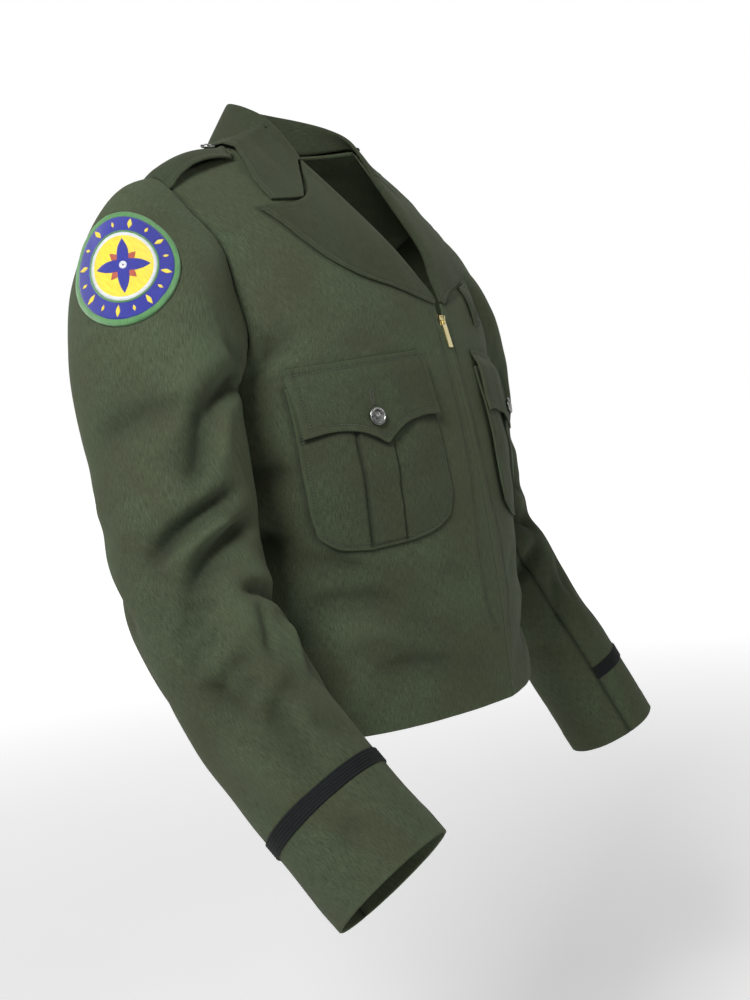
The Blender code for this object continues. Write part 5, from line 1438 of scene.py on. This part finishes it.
def flap_hem(across):
    """Height at which the flap ends, seen from the front."""
    share = np.linspace(0, 1, 80)
    x, y, _ = flap_spot(share, spline(FLAP_DROP, share)[..., 0])
    return np.interp(across, x, y)


def pocket_height(across, up, border):
    """Height of the pocket's cloth over the front: puffed between its edges, with a box pleat."""
    inner, outer = pleat_edges(up)
    on_pleat = smooth((across - inner) / PLEAT_EDGE) * smooth((outer - across) / PLEAT_EDGE)
    full = POCKET_PUFF * smooth(border / 3.0) * (0.6 + 0.4 * np.sin(across * 0.9 + 1.0))
    hold = smooth(border / 0.7)
    groove = (PLEAT_INNER[2] * bump((across - inner + 0.10) / 0.10)
              + PLEAT_OUTER[2] * bump((across - outer - 0.12) / 0.12))
    slack = 0.07 * np.sin((up + 0.35 * across) * 1.3) * bump((up + 31) / 4.5) * hold
    stitched = -0.05 * bump((border - EDGE_STITCH) / 0.09)
    return full + (PLEAT_RISE * on_pleat - groove) * hold + slack + stitched


def make_pockets():
    outline = outline_of_pocket()
    shares, q = np.meshgrid(spaced(POCKET_COLUMNS, True, True), np.linspace(0, 1, POCKET_ROWS))
    q = 1 - (1 - q) ** POCKET_ROW_EASE
    edge = spline(POCKET, q)
    across = edge[..., 0] * (1 - shares) + edge[..., 2] * shares
    up = edge[..., 1] * (1 - shares) + edge[..., 3] * shares
    border = distance_to(outline, across, up)
    raised = pocket_height(across, up, border)
    close = rounded_down(border, POCKET_CLOTH)
    off = smooth((across[..., :1] + GAPE_WIDTH - across) / GAPE_WIDTH)
    off = off * smooth((GAPE_TOP - up) / 3.0) * smooth((up - GAPE_BOTTOM) / 2.0)
    wear = np.exp(-border / WEAR_WIDTH)
    inner, outer = pleat_edges(up)
    hem = flap_hem(across)
    # Painted shade along the pleat's edges, a painted shadow under the flap's hem, and painted shade along
    # the stitching
    painted_shading = (0.55 * bump((across - inner + 0.10) / 0.12) + 0.95 * bump((across - outer - 0.12) / 0.16)
              + 0.9 * bump(np.minimum(hem - up, 0.0) / 0.3) * bump(np.maximum(hem - up - 0.12, 0) / 0.22))
    painted_shading = np.clip(painted_shading * smooth(border / 0.3) + 0.35 * bump((border - EDGE_STITCH) / 0.10), 0, 1)

    middle = outline.mean(0)
    line = (outline + unit(middle - outline) * EDGE_STITCH * 1.15)[6:-6]
    away = distance_to(outline, line[:, 0], line[:, 1])
    line_height = POCKET_SEAT + POCKET_CLOTH + pocket_height(line[:, 0], line[:, 1], away) + 0.012
    for name, side in SIDES:
        spot, way = front_at(across + POCKET_SHIFT[name], up)
        gape = POCKET_GAPE[name] * off
        outside = spot + way * (POCKET_SEAT + POCKET_CLOTH + raised - close + gape)[..., None]
        inside = spot + way * (POCKET_SEAT + raised * 0.8 + close + gape)[..., None]
        thing = shell("pocket_%s_cloth" % name, place(side, outside), place(side, inside), SHADED_POCKET_WOOL, wear,
                      painted_shading=painted_shading)
        on, turn = front_at(line[:, 0] + POCKET_SHIFT[name], line[:, 1])
        on = on + turn * line_height[:, None]
        if POCKET_GAPE[name]:
            on, turn = on[len(on) // 2:], turn[len(turn) // 2:]
        sew = sewn("pocket_stitches_" + name, [(place(side, on), turned_normals(side, turn))], THREAD)
        cloth(thing, ["pocket_" + name])


def flap_seat(share, down):
    from_middle = np.abs(share - FLAP_POINT) * (FLAP_SEAM[1][0] - FLAP_SEAM[0][0])
    over_pleat = 1 - smooth((from_middle - 2.0) / 1.8)
    return FLAP_SEAT + smooth(down / 1.8) * (FLAP_RISE + FLAP_OVER_PLEAT * over_pleat)


def flap_spot(share, down):
    """Place on the flap seen from the front, and how high its hidden face lies there."""
    seam = np.array(FLAP_SEAM)
    across = seam[0, 0] * (1 - share) + seam[1, 0] * share - (FLAP_LEAN + FLAP_TAPER * share) * down
    up = seam[0, 1] * (1 - share) + seam[1, 1] * share - down
    return across, up, flap_seat(share, down)


def flap_curl(share, low):
    """The flap's two lower corners curl off the pocket."""
    return FLAP_CURL * smooth(1 - low / CURL_REACH) * smooth((np.abs(share - 0.5) - 0.2) / 0.3)


def flap_face(share, down, drop):
    """Height of the flap's outer face over its hidden one."""
    side = np.minimum(share, 1 - share) * (FLAP_SEAM[1][0] - FLAP_SEAM[0][0])
    low = drop - down
    border = np.minimum(side, low)
    stitched = -0.045 * bump((border - FLAP_STITCH) / 0.10)
    ease = 0.05 * np.sin(share * 9.0 + 0.6) * smooth(down / 3.0)
    curl = flap_curl(share, low)
    top = -0.06 * bump((down - FLAP_TOP_STITCH) / 0.10)
    return FLAP_CLOTH + stitched + ease + top + curl, border


def make_flaps():
    share, part = np.meshgrid(spaced(FLAP_COLUMNS, True, True), spaced(FLAP_ROWS, True, True))
    drop = spline(FLAP_DROP, share)[..., 0]
    down = drop * part
    across, up, seat = flap_spot(share, down)
    face, border = flap_face(share, down, drop)
    near = np.minimum(border, down + 0.03)
    close = rounded_down(near, FLAP_CLOTH)
    curl = flap_curl(share, drop - down)
    wear = np.exp(-near / WEAR_WIDTH)
    # Painted shade along the flap's stitch lines
    painted_shading = 0.35 * bump((border - FLAP_STITCH) / 0.10) + 0.35 * bump((down - FLAP_TOP_STITCH) / 0.10)

    def stitched(shares, downs, shift):
        low = spline(FLAP_DROP, shares)[..., 0]
        x, y, base = flap_spot(shares, downs)
        on, turn = front_at(x + shift, y)
        height, _ = flap_face(shares, downs, low)
        return on + turn * (base + height + 0.012)[:, None], turn

    wide = FLAP_SEAM[1][0] - FLAP_SEAM[0][0]
    aside = FLAP_STITCH / wide
    run = np.linspace(aside, 1 - aside, 160)
    low_line = spline(FLAP_DROP, run)[..., 0] - FLAP_STITCH
    sides = np.linspace(0.4, 1, 50)
    shares = np.concatenate([np.full(50, aside), run, np.full(50, 1 - aside)])
    downs = np.concatenate([sides * low_line[0], low_line, sides[::-1] * low_line[-1]])
    for name, side in SIDES:
        spot, way = front_at(across + POCKET_SHIFT[name], up)
        outside = spot + way * (seat + face - close)[..., None]
        inside = spot + way * (seat + curl + close)[..., None]
        lines = [stitched(shares, downs, POCKET_SHIFT[name]),
                 stitched(np.linspace(0.01, 0.99, 150), np.full(150, FLAP_TOP_STITCH),
                          POCKET_SHIFT[name])]
        thing = shell("flap_%s_cloth" % name, place(side, outside), place(side, inside), SHADED_POCKET_WOOL, wear,
                      painted_shading=painted_shading)
        rows = [(place(side, on), turned_normals(side, turn)) for on, turn in lines]
        sew = sewn("flap_stitches_" + name, rows, THREAD)
        hole = make_buttonhole(name, side)
        cloth(thing, ["flap_" + name])


def make_buttonhole(name, side):
    """Ring of close stitches round an upright slit above the button."""
    ends = np.array(BUTTONHOLE)
    run = ends[1] - ends[0]
    length = np.linalg.norm(run)
    along = run / length
    aside = np.array((-along[1], along[0]))
    middle = ends.mean(0)
    angle = np.linspace(0, 2 * math.pi, 64)
    ring = middle + np.outer(np.cos(angle), along) * length / 2 + np.outer(np.sin(angle), aside) * 0.13
    down = FLAP_SEAM[0][1] - 0.5 - ring[:, 1]
    on, turn = front_at(ring[:, 0] + POCKET_SHIFT[name], ring[:, 1])
    height = flap_seat(FLAP_POINT, down) + FLAP_CLOTH
    on = on + turn * height[:, None]
    return sewn("buttonhole_" + name, [(place(side, on), turned_normals(side, turn))], HOLE_THREAD,
                *HOLE_STITCH)


# Buttons

def make_button(name, node, middle, way, side, radius, height):
    """Turned metal button: rolled rim, ringed dome and a raised six-leaved rosette."""
    axis = Vector(unit(turned_normals(side, way)))
    base = Vector(place(side, middle))
    frame_axes = axis.to_track_quat("Z", "Y").to_matrix()
    sides = BUTTON_SIDES
    points = []
    for share, rise in BUTTON_SECTION:
        for k in range(sides):
            angle = 2 * math.pi * k / sides
            leaf = ribs = 0
            if share < BUTTON_DOME:
                leaf = LEAF_RISE * max(math.cos(3 * angle), 0) ** 2 * bump((share - 0.42) / 0.20)
            elif 0.85 < share <= 0.985 and rise > 0.4:
                ribs = RIB_RISE * math.cos(36 * angle)
            local = Vector((share * radius * math.cos(angle), share * radius * math.sin(angle),
                            (rise + leaf + ribs) * height))
            points.append(base + frame_axes @ local * CM)
    faces = []
    for i in range(len(BUTTON_SECTION) - 1):
        for k in range(sides):
            n = (k + 1) % sides
            faces.append((i * sides + k, i * sides + n, (i + 1) * sides + n, (i + 1) * sides + k))
    mesh = bpy.data.meshes.new(name)
    mesh.from_pydata(points, [], faces)
    build = bmesh.new()
    build.from_mesh(mesh)
    bmesh.ops.remove_doubles(build, verts=build.verts, dist=1e-6)
    bmesh.ops.subdivide_edges(build, edges=build.edges, cuts=1, use_grid_fill=True, smooth=0.0)
    bmesh.ops.recalc_face_normals(build, faces=build.faces)
    build.to_mesh(mesh)
    build.free()
    mesh.shade_smooth()
    thing = bpy.data.objects.new(name, mesh)
    bpy.context.collection.objects.link(thing)
    thing.data.materials.append(GUNMETAL)
    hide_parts(node)
    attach(thing, "jacket")
    return thing


def make_pocket_buttons():
    height = flap_seat(FLAP_POINT, FLAP_SEAM[0][1] - POCKET_BUTTON[1]) + FLAP_CLOTH + BUTTON_SEAT
    for name, side in SIDES:
        spot, way = front_at(POCKET_BUTTON[0] + POCKET_SHIFT[name], POCKET_BUTTON[1])
        make_button("pocket_button_%s_metal" % name, "pocket_button_" + name, spot + way * height, way, side,
                    BUTTON_RADIUS, BUTTON_HEIGHT)


# Epaulets

def drop(tree, across, forward):
    spot, way = tree.ray_cast(Vector((across, forward, 15.0)), Vector((0, 0, -1)))[:2]
    if spot is None:
        spot, way = tree.find_nearest(Vector((across, forward, -5.0)))[:2]
    way = np.array(way)
    return np.array(spot), way if way[2] > 0 else -way


def epaulet_loft(e):
    return EPAULET_LOFT * np.maximum(np.sin(math.pi * np.minimum(e / EPAULET_ARCH_END, 1)), 0) ** 0.75


def make_epaulets(tree):
    run = EPAULET_ACROSS[1] - EPAULET_ACROSS[0]
    grid = []
    for e in np.linspace(0, 1, 21):
        half = EPAULET_HALF[0] + (EPAULET_HALF[1] - EPAULET_HALF[0]) * e
        tip = max(0.0, e - EPAULET_ARCH_END) / (1 - EPAULET_ARCH_END)
        row = []
        for f in np.linspace(-1, 1, 9):
            across = EPAULET_ACROSS[0] + run * e + tip * EPAULET_POINT * abs(f) ** 1.5
            spot, way = drop(tree, across, EPAULET_MIDDLE + f * half * (1 - tip / 4))
            lift = np.array((0, 0, epaulet_loft(e)))
            sewn_in = EPAULET_SEWN * (1 - smooth(e / EPAULET_SEWN_END))
            row.append(spot + way * (EPAULET_SEAT + EPAULET_CLOTH - sewn_in) + lift)
        grid.append(row)
    grid = resampled(np.array(grid), spaced(EPAULET_ROWS, False, True), spaced(EPAULET_COLUMNS, True, True))
    ways = grid_normals(grid)
    ways *= np.sign(ways[..., 2].mean())
    away = from_edges(grid)
    border = np.minimum(np.minimum(away["first column"], away["last column"]), away["last row"])
    relief = -0.04 * bump((border - EPAULET_STITCH) / 0.09)
    free = ("first column", "last column", "last row")
    outside, inside, wear = tailored(grid, ways, EPAULET_CLOTH, (), free, relief)
    middle = EPAULET_BUTTON_ACROSS
    spot, way = drop(tree, middle, EPAULET_MIDDLE)
    foot_radius = EPAULET_BUTTON_RADIUS * 0.8
    outer, inner = [epaulet_loft((middle + reach - EPAULET_ACROSS[0]) / run)
                    for reach in (foot_radius, -foot_radius)]
    rise = np.array((0, 0, (outer + inner) / 2))
    seat = spot + way * (EPAULET_SEAT + EPAULET_CLOTH + EPAULET_BUTTON_SEAT) + rise
    tilt = unit(way + np.array(((inner - outer) / (2 * foot_radius), EPAULET_BUTTON_LEAN, 0)))
    for name, side in SIDES:
        out = place(side, outside)
        turn = turned_normals(side, ways)
        thing = shell("epaulet_%s_cloth" % name, out, place(side, inside), SHADED_TRIM_WOOL, wear)
        rows = [line_inside(out, turn, edge, EPAULET_STITCH * CM) for edge in free[:2]]
        sew = sewn("epaulet_stitches_" + name, rows, THREAD)
        cloth(thing, ["epaulet_" + name])
        make_button("epaulet_button_%s_metal" % name, "epaulet_button_" + name, seat, tilt, side,
                    EPAULET_BUTTON_RADIUS, BUTTON_HEIGHT)


# Sleeve trim

def make_braids():
    first, last = TURN_HIND_SEAM - 1 + BRAID_MARGIN, TURN_FRONT_SEAM - BRAID_MARGIN
    for name, side in SIDES:
        turn, share = np.meshgrid(np.linspace(first, last, BRAID_COLUMNS), np.linspace(0, 1, BRAID_ROWS))
        along = 1 + BRAID[0] + (BRAID[1] - BRAID[0]) * share

        def surface(a, b, name=name):
            return sleeve(name, a, b)

        way = normals_of(surface, turn, along, (-1, 2), (0, 2))
        rib = BRAID_RIB_HEIGHT * np.abs(np.sin(math.pi * BRAID_RIBS * share)) ** 0.7
        edge = smooth(np.minimum(share, 1 - share) / 0.03)
        knots = 0.006 * np.sin(turn * 2 * math.pi * 170) * edge
        lift = BRAID_SEAT + (BRAID_THICKNESS - BRAID_RIB_HEIGHT) * (0.35 + 0.65 * edge) + rib + knots
        base = surface(turn, along)
        outside = base + way * lift[..., None]
        inside = base + way * BRAID_SEAT
        wear = np.exp(-np.minimum(share, 1 - share) * 8)
        thing = shell("braid_%s_ribs" % name, place(side, outside), place(side, inside), BRAID_CLOTH, wear)
        cloth(thing, ["braid_" + name])


class PatchSeat:
    """Plane of the round patch and the sleeve beneath it."""

    def __init__(self):
        self.tree = sleeve_tree("right")
        self.middle, self.way = foot(self.tree, PATCH_MIDDLE, (1, 0.2, 0.3))
        self.tall = unit(np.array((0, 0, 1.0)) - self.way * self.way[2])
        self.wide = np.cross(self.tall, self.way)

    def lie(self, x, y, height):
        """Places on the sleeve at x, y of the patch's half sizes, raised by a height."""
        points = np.empty((*x.shape, 3))
        turns = np.empty((*x.shape, 3))
        for spot in np.ndindex(*x.shape):
            aside = self.wide * PATCH_HALF[0] * x[spot] + self.tall * PATCH_HALF[1] * y[spot]
            hit, turn = self.tree.ray_cast(Vector(self.middle + aside + self.way * 6), Vector(-self.way))[:2]
            turn = np.array(turn)
            points[spot] = np.array(hit)
            turns[spot] = turn if turn @ self.way > 0 else -turn
        return points + turns * np.asarray(height)[..., None], turns


def patch_piece(seat, name, x, y, base, top, material, wrap=False):
    """Stitched shape of the patch between two heights, its edges rounded down."""
    outside, _ = seat.lie(x, y, top)
    inside, _ = seat.lie(x, y, np.full(x.shape, base))
    grain = (x * PATCH_HALF[0], y * PATCH_HALF[1])
    thing = shell(name, place(RIGHT, outside), place(RIGHT, inside), material, wrap=wrap, grain=grain)
    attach(thing, "jacket")
    return thing


def star_radius(angle, points, outer, inner, turn=0.0):
    """Radius of a star's outline at an angle."""
    share = np.abs(((angle + turn) * points / (2 * math.pi)) % 1.0 - 0.5) * 2
    return inner + (outer - inner) * share ** 1.6


def make_patch():
    """Round patch: whipped edge, field with rays, ring, pale band, disc and a compass star."""
    seat = PatchSeat()
    angle = np.linspace(0, 2 * math.pi, PATCH_SIDES, endpoint=False)

    def rings(radii, outline=1.0):
        radius, turn = np.meshgrid(radii, angle, indexing="ij")
        radius = radius * outline
        return radius * np.cos(turn), radius * np.sin(turn), turn

    x, y, turn = rings(np.linspace(0.01, 0.90, PATCH_RINGS))
    top = PATCH_SEAT + PATCH_CLOTH + 0.004 * np.sin(x * 60 + y * 40)
    field = patch_piece(seat, "sleeve_patch_field", x, y, PATCH_SEAT, top, FIELD_BLUE, True)
    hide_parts("sleeve_patch")

    share = np.linspace(0, 1, 15)
    x, y, turn = rings(0.885 + 0.115 * share)
    over = np.sqrt(np.maximum(1 - (2 * share - 1) ** 2, 0))[:, None]
    whip = 0.012 * np.sin(turn * PATCH_EDGE_THREADS + 3 * share[:, None])
    top = PATCH_SEAT + 0.05 + (PATCH_CLOTH - 0.05 + PATCH_EDGE + whip) * over
    patch_piece(seat, "sleeve_patch_edge", x, y, PATCH_SEAT, top, EDGE_GREEN, True)

    def raised(name, radii, outline, height, material, low=0.06):
        x, y, turn = rings(radii, outline)
        rim = np.minimum(np.arange(len(radii))[:, None], np.arange(len(radii))[::-1][:, None])
        top = PATCH_SEAT + PATCH_CLOTH + height * smooth((rim + 0.4) / 2.0) + 0 * turn
        patch_piece(seat, name, x, y, PATCH_SEAT + low, top, material, True)

    raised("sleeve_patch_ring", np.linspace(0.60, 0.635, 7), 1.0, 0.05, EDGE_GREEN)
    raised("sleeve_patch_sky", np.linspace(0.01, 0.60, 18), 1.0, 0.02, CLOUD_WHITE)
    raised("sleeve_patch_sun", np.linspace(0.01, 0.56, 17), 1.0, 0.035, STAR_YELLOW, 0.1)
    star = star_radius(angle, *PATCH_STAR)
    small = star_radius(angle, *PATCH_STAR_LOW)
    raised("sleeve_patch_star_low", np.linspace(0.01, 1.0, 16), small, 0.06, HILL_RED, 0.1)
    raised("sleeve_patch_star", np.linspace(0.01, 1.0, 16), star, 0.085, FIELD_BLUE, 0.1)
    raised("sleeve_patch_heart", np.linspace(0.01, 0.075, 8), 1.0, 0.12, CLOUD_WHITE, 0.1)
    for k in range(PATCH_RAYS):
        middle = 2 * math.pi * (k + 0.5) / PATCH_RAYS
        reach = 0.076 if k % 2 else 0.05
        sides, across = np.meshgrid(np.linspace(-1, 1, 9), np.linspace(-1, 1, 13))
        length = 0.10 if k % 2 else 0.055
        width = reach * (1 - np.abs(across) ** 1.4 * 0.999) * sides * 0.55
        out = PATCH_RAYS_AT + across * length
        x = out * math.cos(middle) - width * math.sin(middle)
        y = out * math.sin(middle) + width * math.cos(middle)
        top = PATCH_SEAT + PATCH_CLOTH + 0.05 * np.sqrt(np.maximum(1 - sides ** 2, 0)) + 0.002
        patch_piece(seat, "sleeve_patch_ray_%d" % k, x, y, PATCH_SEAT + 0.08, top, STAR_YELLOW)


def make_tab():
    """Badge tab: a small double strip, stitched at its sides, with an eyelet."""
    corners = np.array(TAB)
    b, a = np.meshgrid(spaced(30, True, True), spaced(44, True, True))
    top = corners[0] * (1 - b[..., None]) + corners[1] * b[..., None]
    low = corners[3] * (1 - b[..., None]) + corners[2] * b[..., None]
    plan = top * (1 - a[..., None]) + low * a[..., None]
    spot, way = front_at(plan[..., 0], plan[..., 1])
    arch = 0.12 * smooth((1 - b) / 0.5) * np.sin(math.pi * a)
    grid = spot + way * (TAB_SEAT + TAB_CLOTH + arch)[..., None]
    away = from_edges(grid)
    border = np.minimum.reduce(list(away.values()))
    hole = np.hypot(plan[..., 0] - EYELET[0], plan[..., 1] - EYELET[1])
    relief = -0.045 * bump((border - EDGE_STITCH) / 0.09) + 0.05 * bump((hole - 0.28) / 0.09)
    relief = relief - 0.14 * bump(hole / 0.15)
    outside, inside, wear = tailored(grid, way, TAB_CLOTH, (), tuple(away), relief)
    out = place(LEFT, outside)
    thing = shell("badge_tab_cloth", out, place(LEFT, inside), SHADED_TRIM_WOOL, wear)
    turn = turned_normals(LEFT, way)
    rows = [line_inside(out, turn, edge, EDGE_STITCH * CM) for edge in ("first column", "last column")]
    ring = np.linspace(0, 2 * math.pi, 40)
    on, up = front_at(EYELET[0] + EYELET_RADIUS * np.cos(ring), EYELET[1] + EYELET_RADIUS * np.sin(ring))
    on = on + up * (TAB_SEAT + TAB_CLOTH + 0.12)
    eyelet = sewn("badge_tab_eyelet", [(place(LEFT, on), turned_normals(LEFT, up))], HOLE_THREAD,
                  *EYELET_STITCH)
    sew = sewn("badge_tab_stitches", rows, THREAD)
    cloth(thing, ["badge_tab"])


# Zip

def middle_at(up):
    """Forward place of the front's outer face at the middle, at this height."""
    return spline(tuple((row[3], row[2]) for row in FRONT if row[3] <= -17.9), up)[..., 0]


def box_points(size, bevel):
    """Points and faces of a small box with its corners cut."""
    build = bmesh.new()
    bmesh.ops.create_cube(build, size=1.0)
    for vert in build.verts:
        vert.co = Vector([vert.co[k] * size[k] for k in range(3)])
    bmesh.ops.bevel(build, geom=list(build.edges), offset=bevel, segments=1, profile=0.6, affect="EDGES")
    build.verts.index_update()
    points = np.array([vert.co[:] for vert in build.verts])
    faces = [[vert.index for vert in face.verts] for face in build.faces]
    build.free()
    return points, faces


def make_zip():
    up = np.linspace(ZIP_TOP, ZIP_BOTTOM, 70)
    across = np.linspace(-TAPE_HALF, TAPE_HALF, 31)
    x, z = np.meshgrid(across, up)
    base = middle_at(z) - CLOTH - ZIP_SEAT - CHAIN_HEIGHT - TAPE_FALL * np.abs(x)
    rib = 0.012 * np.sin(x * 28)
    outside = np.stack([x, -(base + rib), z], -1) * CM
    inside = np.stack([x, -(base - TAPE_CLOTH), z], -1) * CM
    tape = shell("zip_tape_cloth", outside, inside, SHADED_TAPE_WOOL)
    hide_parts("zip_tape")
    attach(tape, "jacket")

    shape, sides = box_points(TOOTH, TOOTH_BEVEL)
    points = []
    faces = []
    count = int((ZIP_TOP - ZIP_BOTTOM) / TOOTH_PITCH)
    for k in range(count):
        for hand in (RIGHT, LEFT):
            height = ZIP_TOP - TOOTH_PITCH * (k + (0.5 if hand == LEFT else 0.0)) - 0.1
            forward = float(middle_at(height)) - CLOTH - ZIP_SEAT - CHAIN_HEIGHT / 2
            start = len(points)
            for x, y, z in shape:
                points.append(((hand * TOOTH_ASIDE + x) * CM, -(forward + y) * CM, (height + z) * CM))
            faces += [[start + corner for corner in side] for side in sides]
    teeth = thing_from("zip_teeth", points, faces, BRASS, 40)
    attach(teeth, "jacket")


def polished(name):
    """Carry a metal CAD piece over with small rounded edges and a real finish."""
    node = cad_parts[name]
    for k in range(len(node.material_slots)):
        node.material_slots[k].material = BRASS
    soft = node.modifiers.new("rounded", "BEVEL")
    soft.width = BRASS_BEVEL
    soft.segments = 3
    soft.limit_method = "ANGLE"
    soft.angle_limit = math.radians(BRASS_BEVEL_ANGLE)
    soft.harden_normals = True


# Camera, light and floor

CAMERA_PLACE = (-0.95, -0.69, -0.30)
CAMERA_YAW = 55.0
CAMERA_PITCH = 2.5
CAMERA_ROLL = -6.8
FOCAL_PIXELS = 1205.0
PHOTO_LONG_SIDE = 1000.0
SENSOR = 36.0
FLOOR_UP = -1.15
FLOOR_HALF = 60.0
# World: its bright side, and from and to which share of that direction it brightens, from what to what
BACKDROP_WAY = (0.82, 0.57, 0.0)
BACKDROP_RANGE = (0.15, 0.62, 0.06, 1.0)
# Soft boxes: name, place, size in metres, watts
LIGHTS = (
    ("key", (-1.35, -0.38, 0.62), 0.5, 34),
    ("front_fill", (0.2, -2.7, 0.8), 0.9, 14),
)
# The floor brightens towards the horizon: from and to which distance, and how much
FLOOR_GLOW = (0.8, 4.5, 0.17, 0.82)
LIGHTS_AIM = (0.0, -0.05, -0.30)


def make_camera():
    yaw, pitch, roll = (math.radians(x) for x in (CAMERA_YAW, CAMERA_PITCH, CAMERA_ROLL))
    ahead = Vector((math.sin(yaw) * math.cos(pitch), math.cos(yaw) * math.cos(pitch), -math.sin(pitch)))
    right = Vector((math.cos(yaw), -math.sin(yaw), 0))
    up = right.cross(ahead)
    image_right = right * math.cos(roll) + up * math.sin(roll)
    image_up = up * math.cos(roll) - right * math.sin(roll)
    data = bpy.data.cameras.new("camera")
    data.sensor_width = SENSOR
    data.sensor_fit = "AUTO"
    data.lens = FOCAL_PIXELS * SENSOR / PHOTO_LONG_SIDE
    data.clip_start = 0.01
    thing = bpy.data.objects.new("camera", data)
    turn = Matrix((image_right, image_up, -ahead)).transposed()
    thing.matrix_world = Matrix.Translation(CAMERA_PLACE) @ turn.to_4x4()
    bpy.context.collection.objects.link(thing)
    bpy.context.scene.camera = thing


def make_light(name, place_at, target, size, watts):
    data = bpy.data.lights.new(name, "AREA")
    data.energy = watts
    data.size = size
    thing = bpy.data.objects.new(name, data)
    thing.location = place_at
    thing.rotation_mode = "QUATERNION"
    thing.rotation_quaternion = (Vector(target) - Vector(place_at)).to_track_quat("-Z", "Y")
    bpy.context.collection.objects.link(thing)


def make_world():
    """Dim room with a white backdrop in the far direction that the camera's side looks at."""
    world = bpy.data.worlds.new("studio")
    bpy.context.scene.world = world
    world.use_nodes = True
    tree = world.node_tree
    where = tree.nodes.new("ShaderNodeTexCoord")
    dot = tree.nodes.new("ShaderNodeVectorMath")
    dot.operation = "DOT_PRODUCT"
    dot.inputs[1].default_value = BACKDROP_WAY
    tree.links.new(where.outputs["Generated"], dot.inputs[0])
    share = tree.nodes.new("ShaderNodeMapRange")
    share.interpolation_type = "SMOOTHSTEP"
    for socket, value in zip(("From Min", "From Max", "To Min", "To Max"), BACKDROP_RANGE):
        share.inputs[socket].default_value = value
    tree.links.new(dot.outputs["Value"], share.inputs["Value"])
    background = tree.nodes["Background"]
    background.inputs["Color"].default_value = (1.0, 1.0, 1.0, 1)
    tree.links.new(share.outputs["Result"], background.inputs["Strength"])


def make_floor():
    mesh = bpy.data.meshes.new("floor")
    corners = [(x * FLOOR_HALF, y * FLOOR_HALF, FLOOR_UP) for x, y in ((-1, -1), (1, -1), (1, 1), (-1, 1))]
    mesh.from_pydata(corners, [], [(0, 1, 2, 3)])
    floor = bpy.data.objects.new("floor", mesh)
    graph = Graph("floor_paper", (0.82, 0.82, 0.82), 0.9)
    tone = graph.noise(graph.object_place(), 3.0)
    paper = graph.mixed(graph.spread(tone, 0.3, 0.7), (0.84, 0.84, 0.84), (0.87, 0.87, 0.87))
    distance = graph.node("VectorMath", {0: graph.object_place()}, operation="LENGTH").outputs["Value"]
    graph.shader.inputs["Emission Color"].default_value = (1, 1, 1, 1)
    graph.tree.links.new(graph.spread(distance, *FLOOR_GLOW), graph.shader.inputs["Emission Strength"])
    floor.data.materials.append(graph.finish(paper, graph.spread(tone, 0.3, 0.7, 0.85, 0.95)))
    bpy.context.collection.objects.link(floor)


def make_studio():
    for name, place_at, size, watts in LIGHTS:
        make_light(name, place_at, LIGHTS_AIM, size, watts)
    make_world()
    make_floor()
    bpy.context.scene.view_settings.view_transform = "Standard"


make_fronts()
make_back()
make_sleeves()
BODY_TREE = body_tree()
make_lapels(BODY_TREE)
make_collar(BODY_TREE)
make_pockets()
make_flaps()
make_pocket_buttons()
make_epaulets(body_tree(True))
make_braids()
make_patch()
make_tab()
make_zip()
polished("zip_slider")
polished("zip_pull")
make_camera()
make_studio()
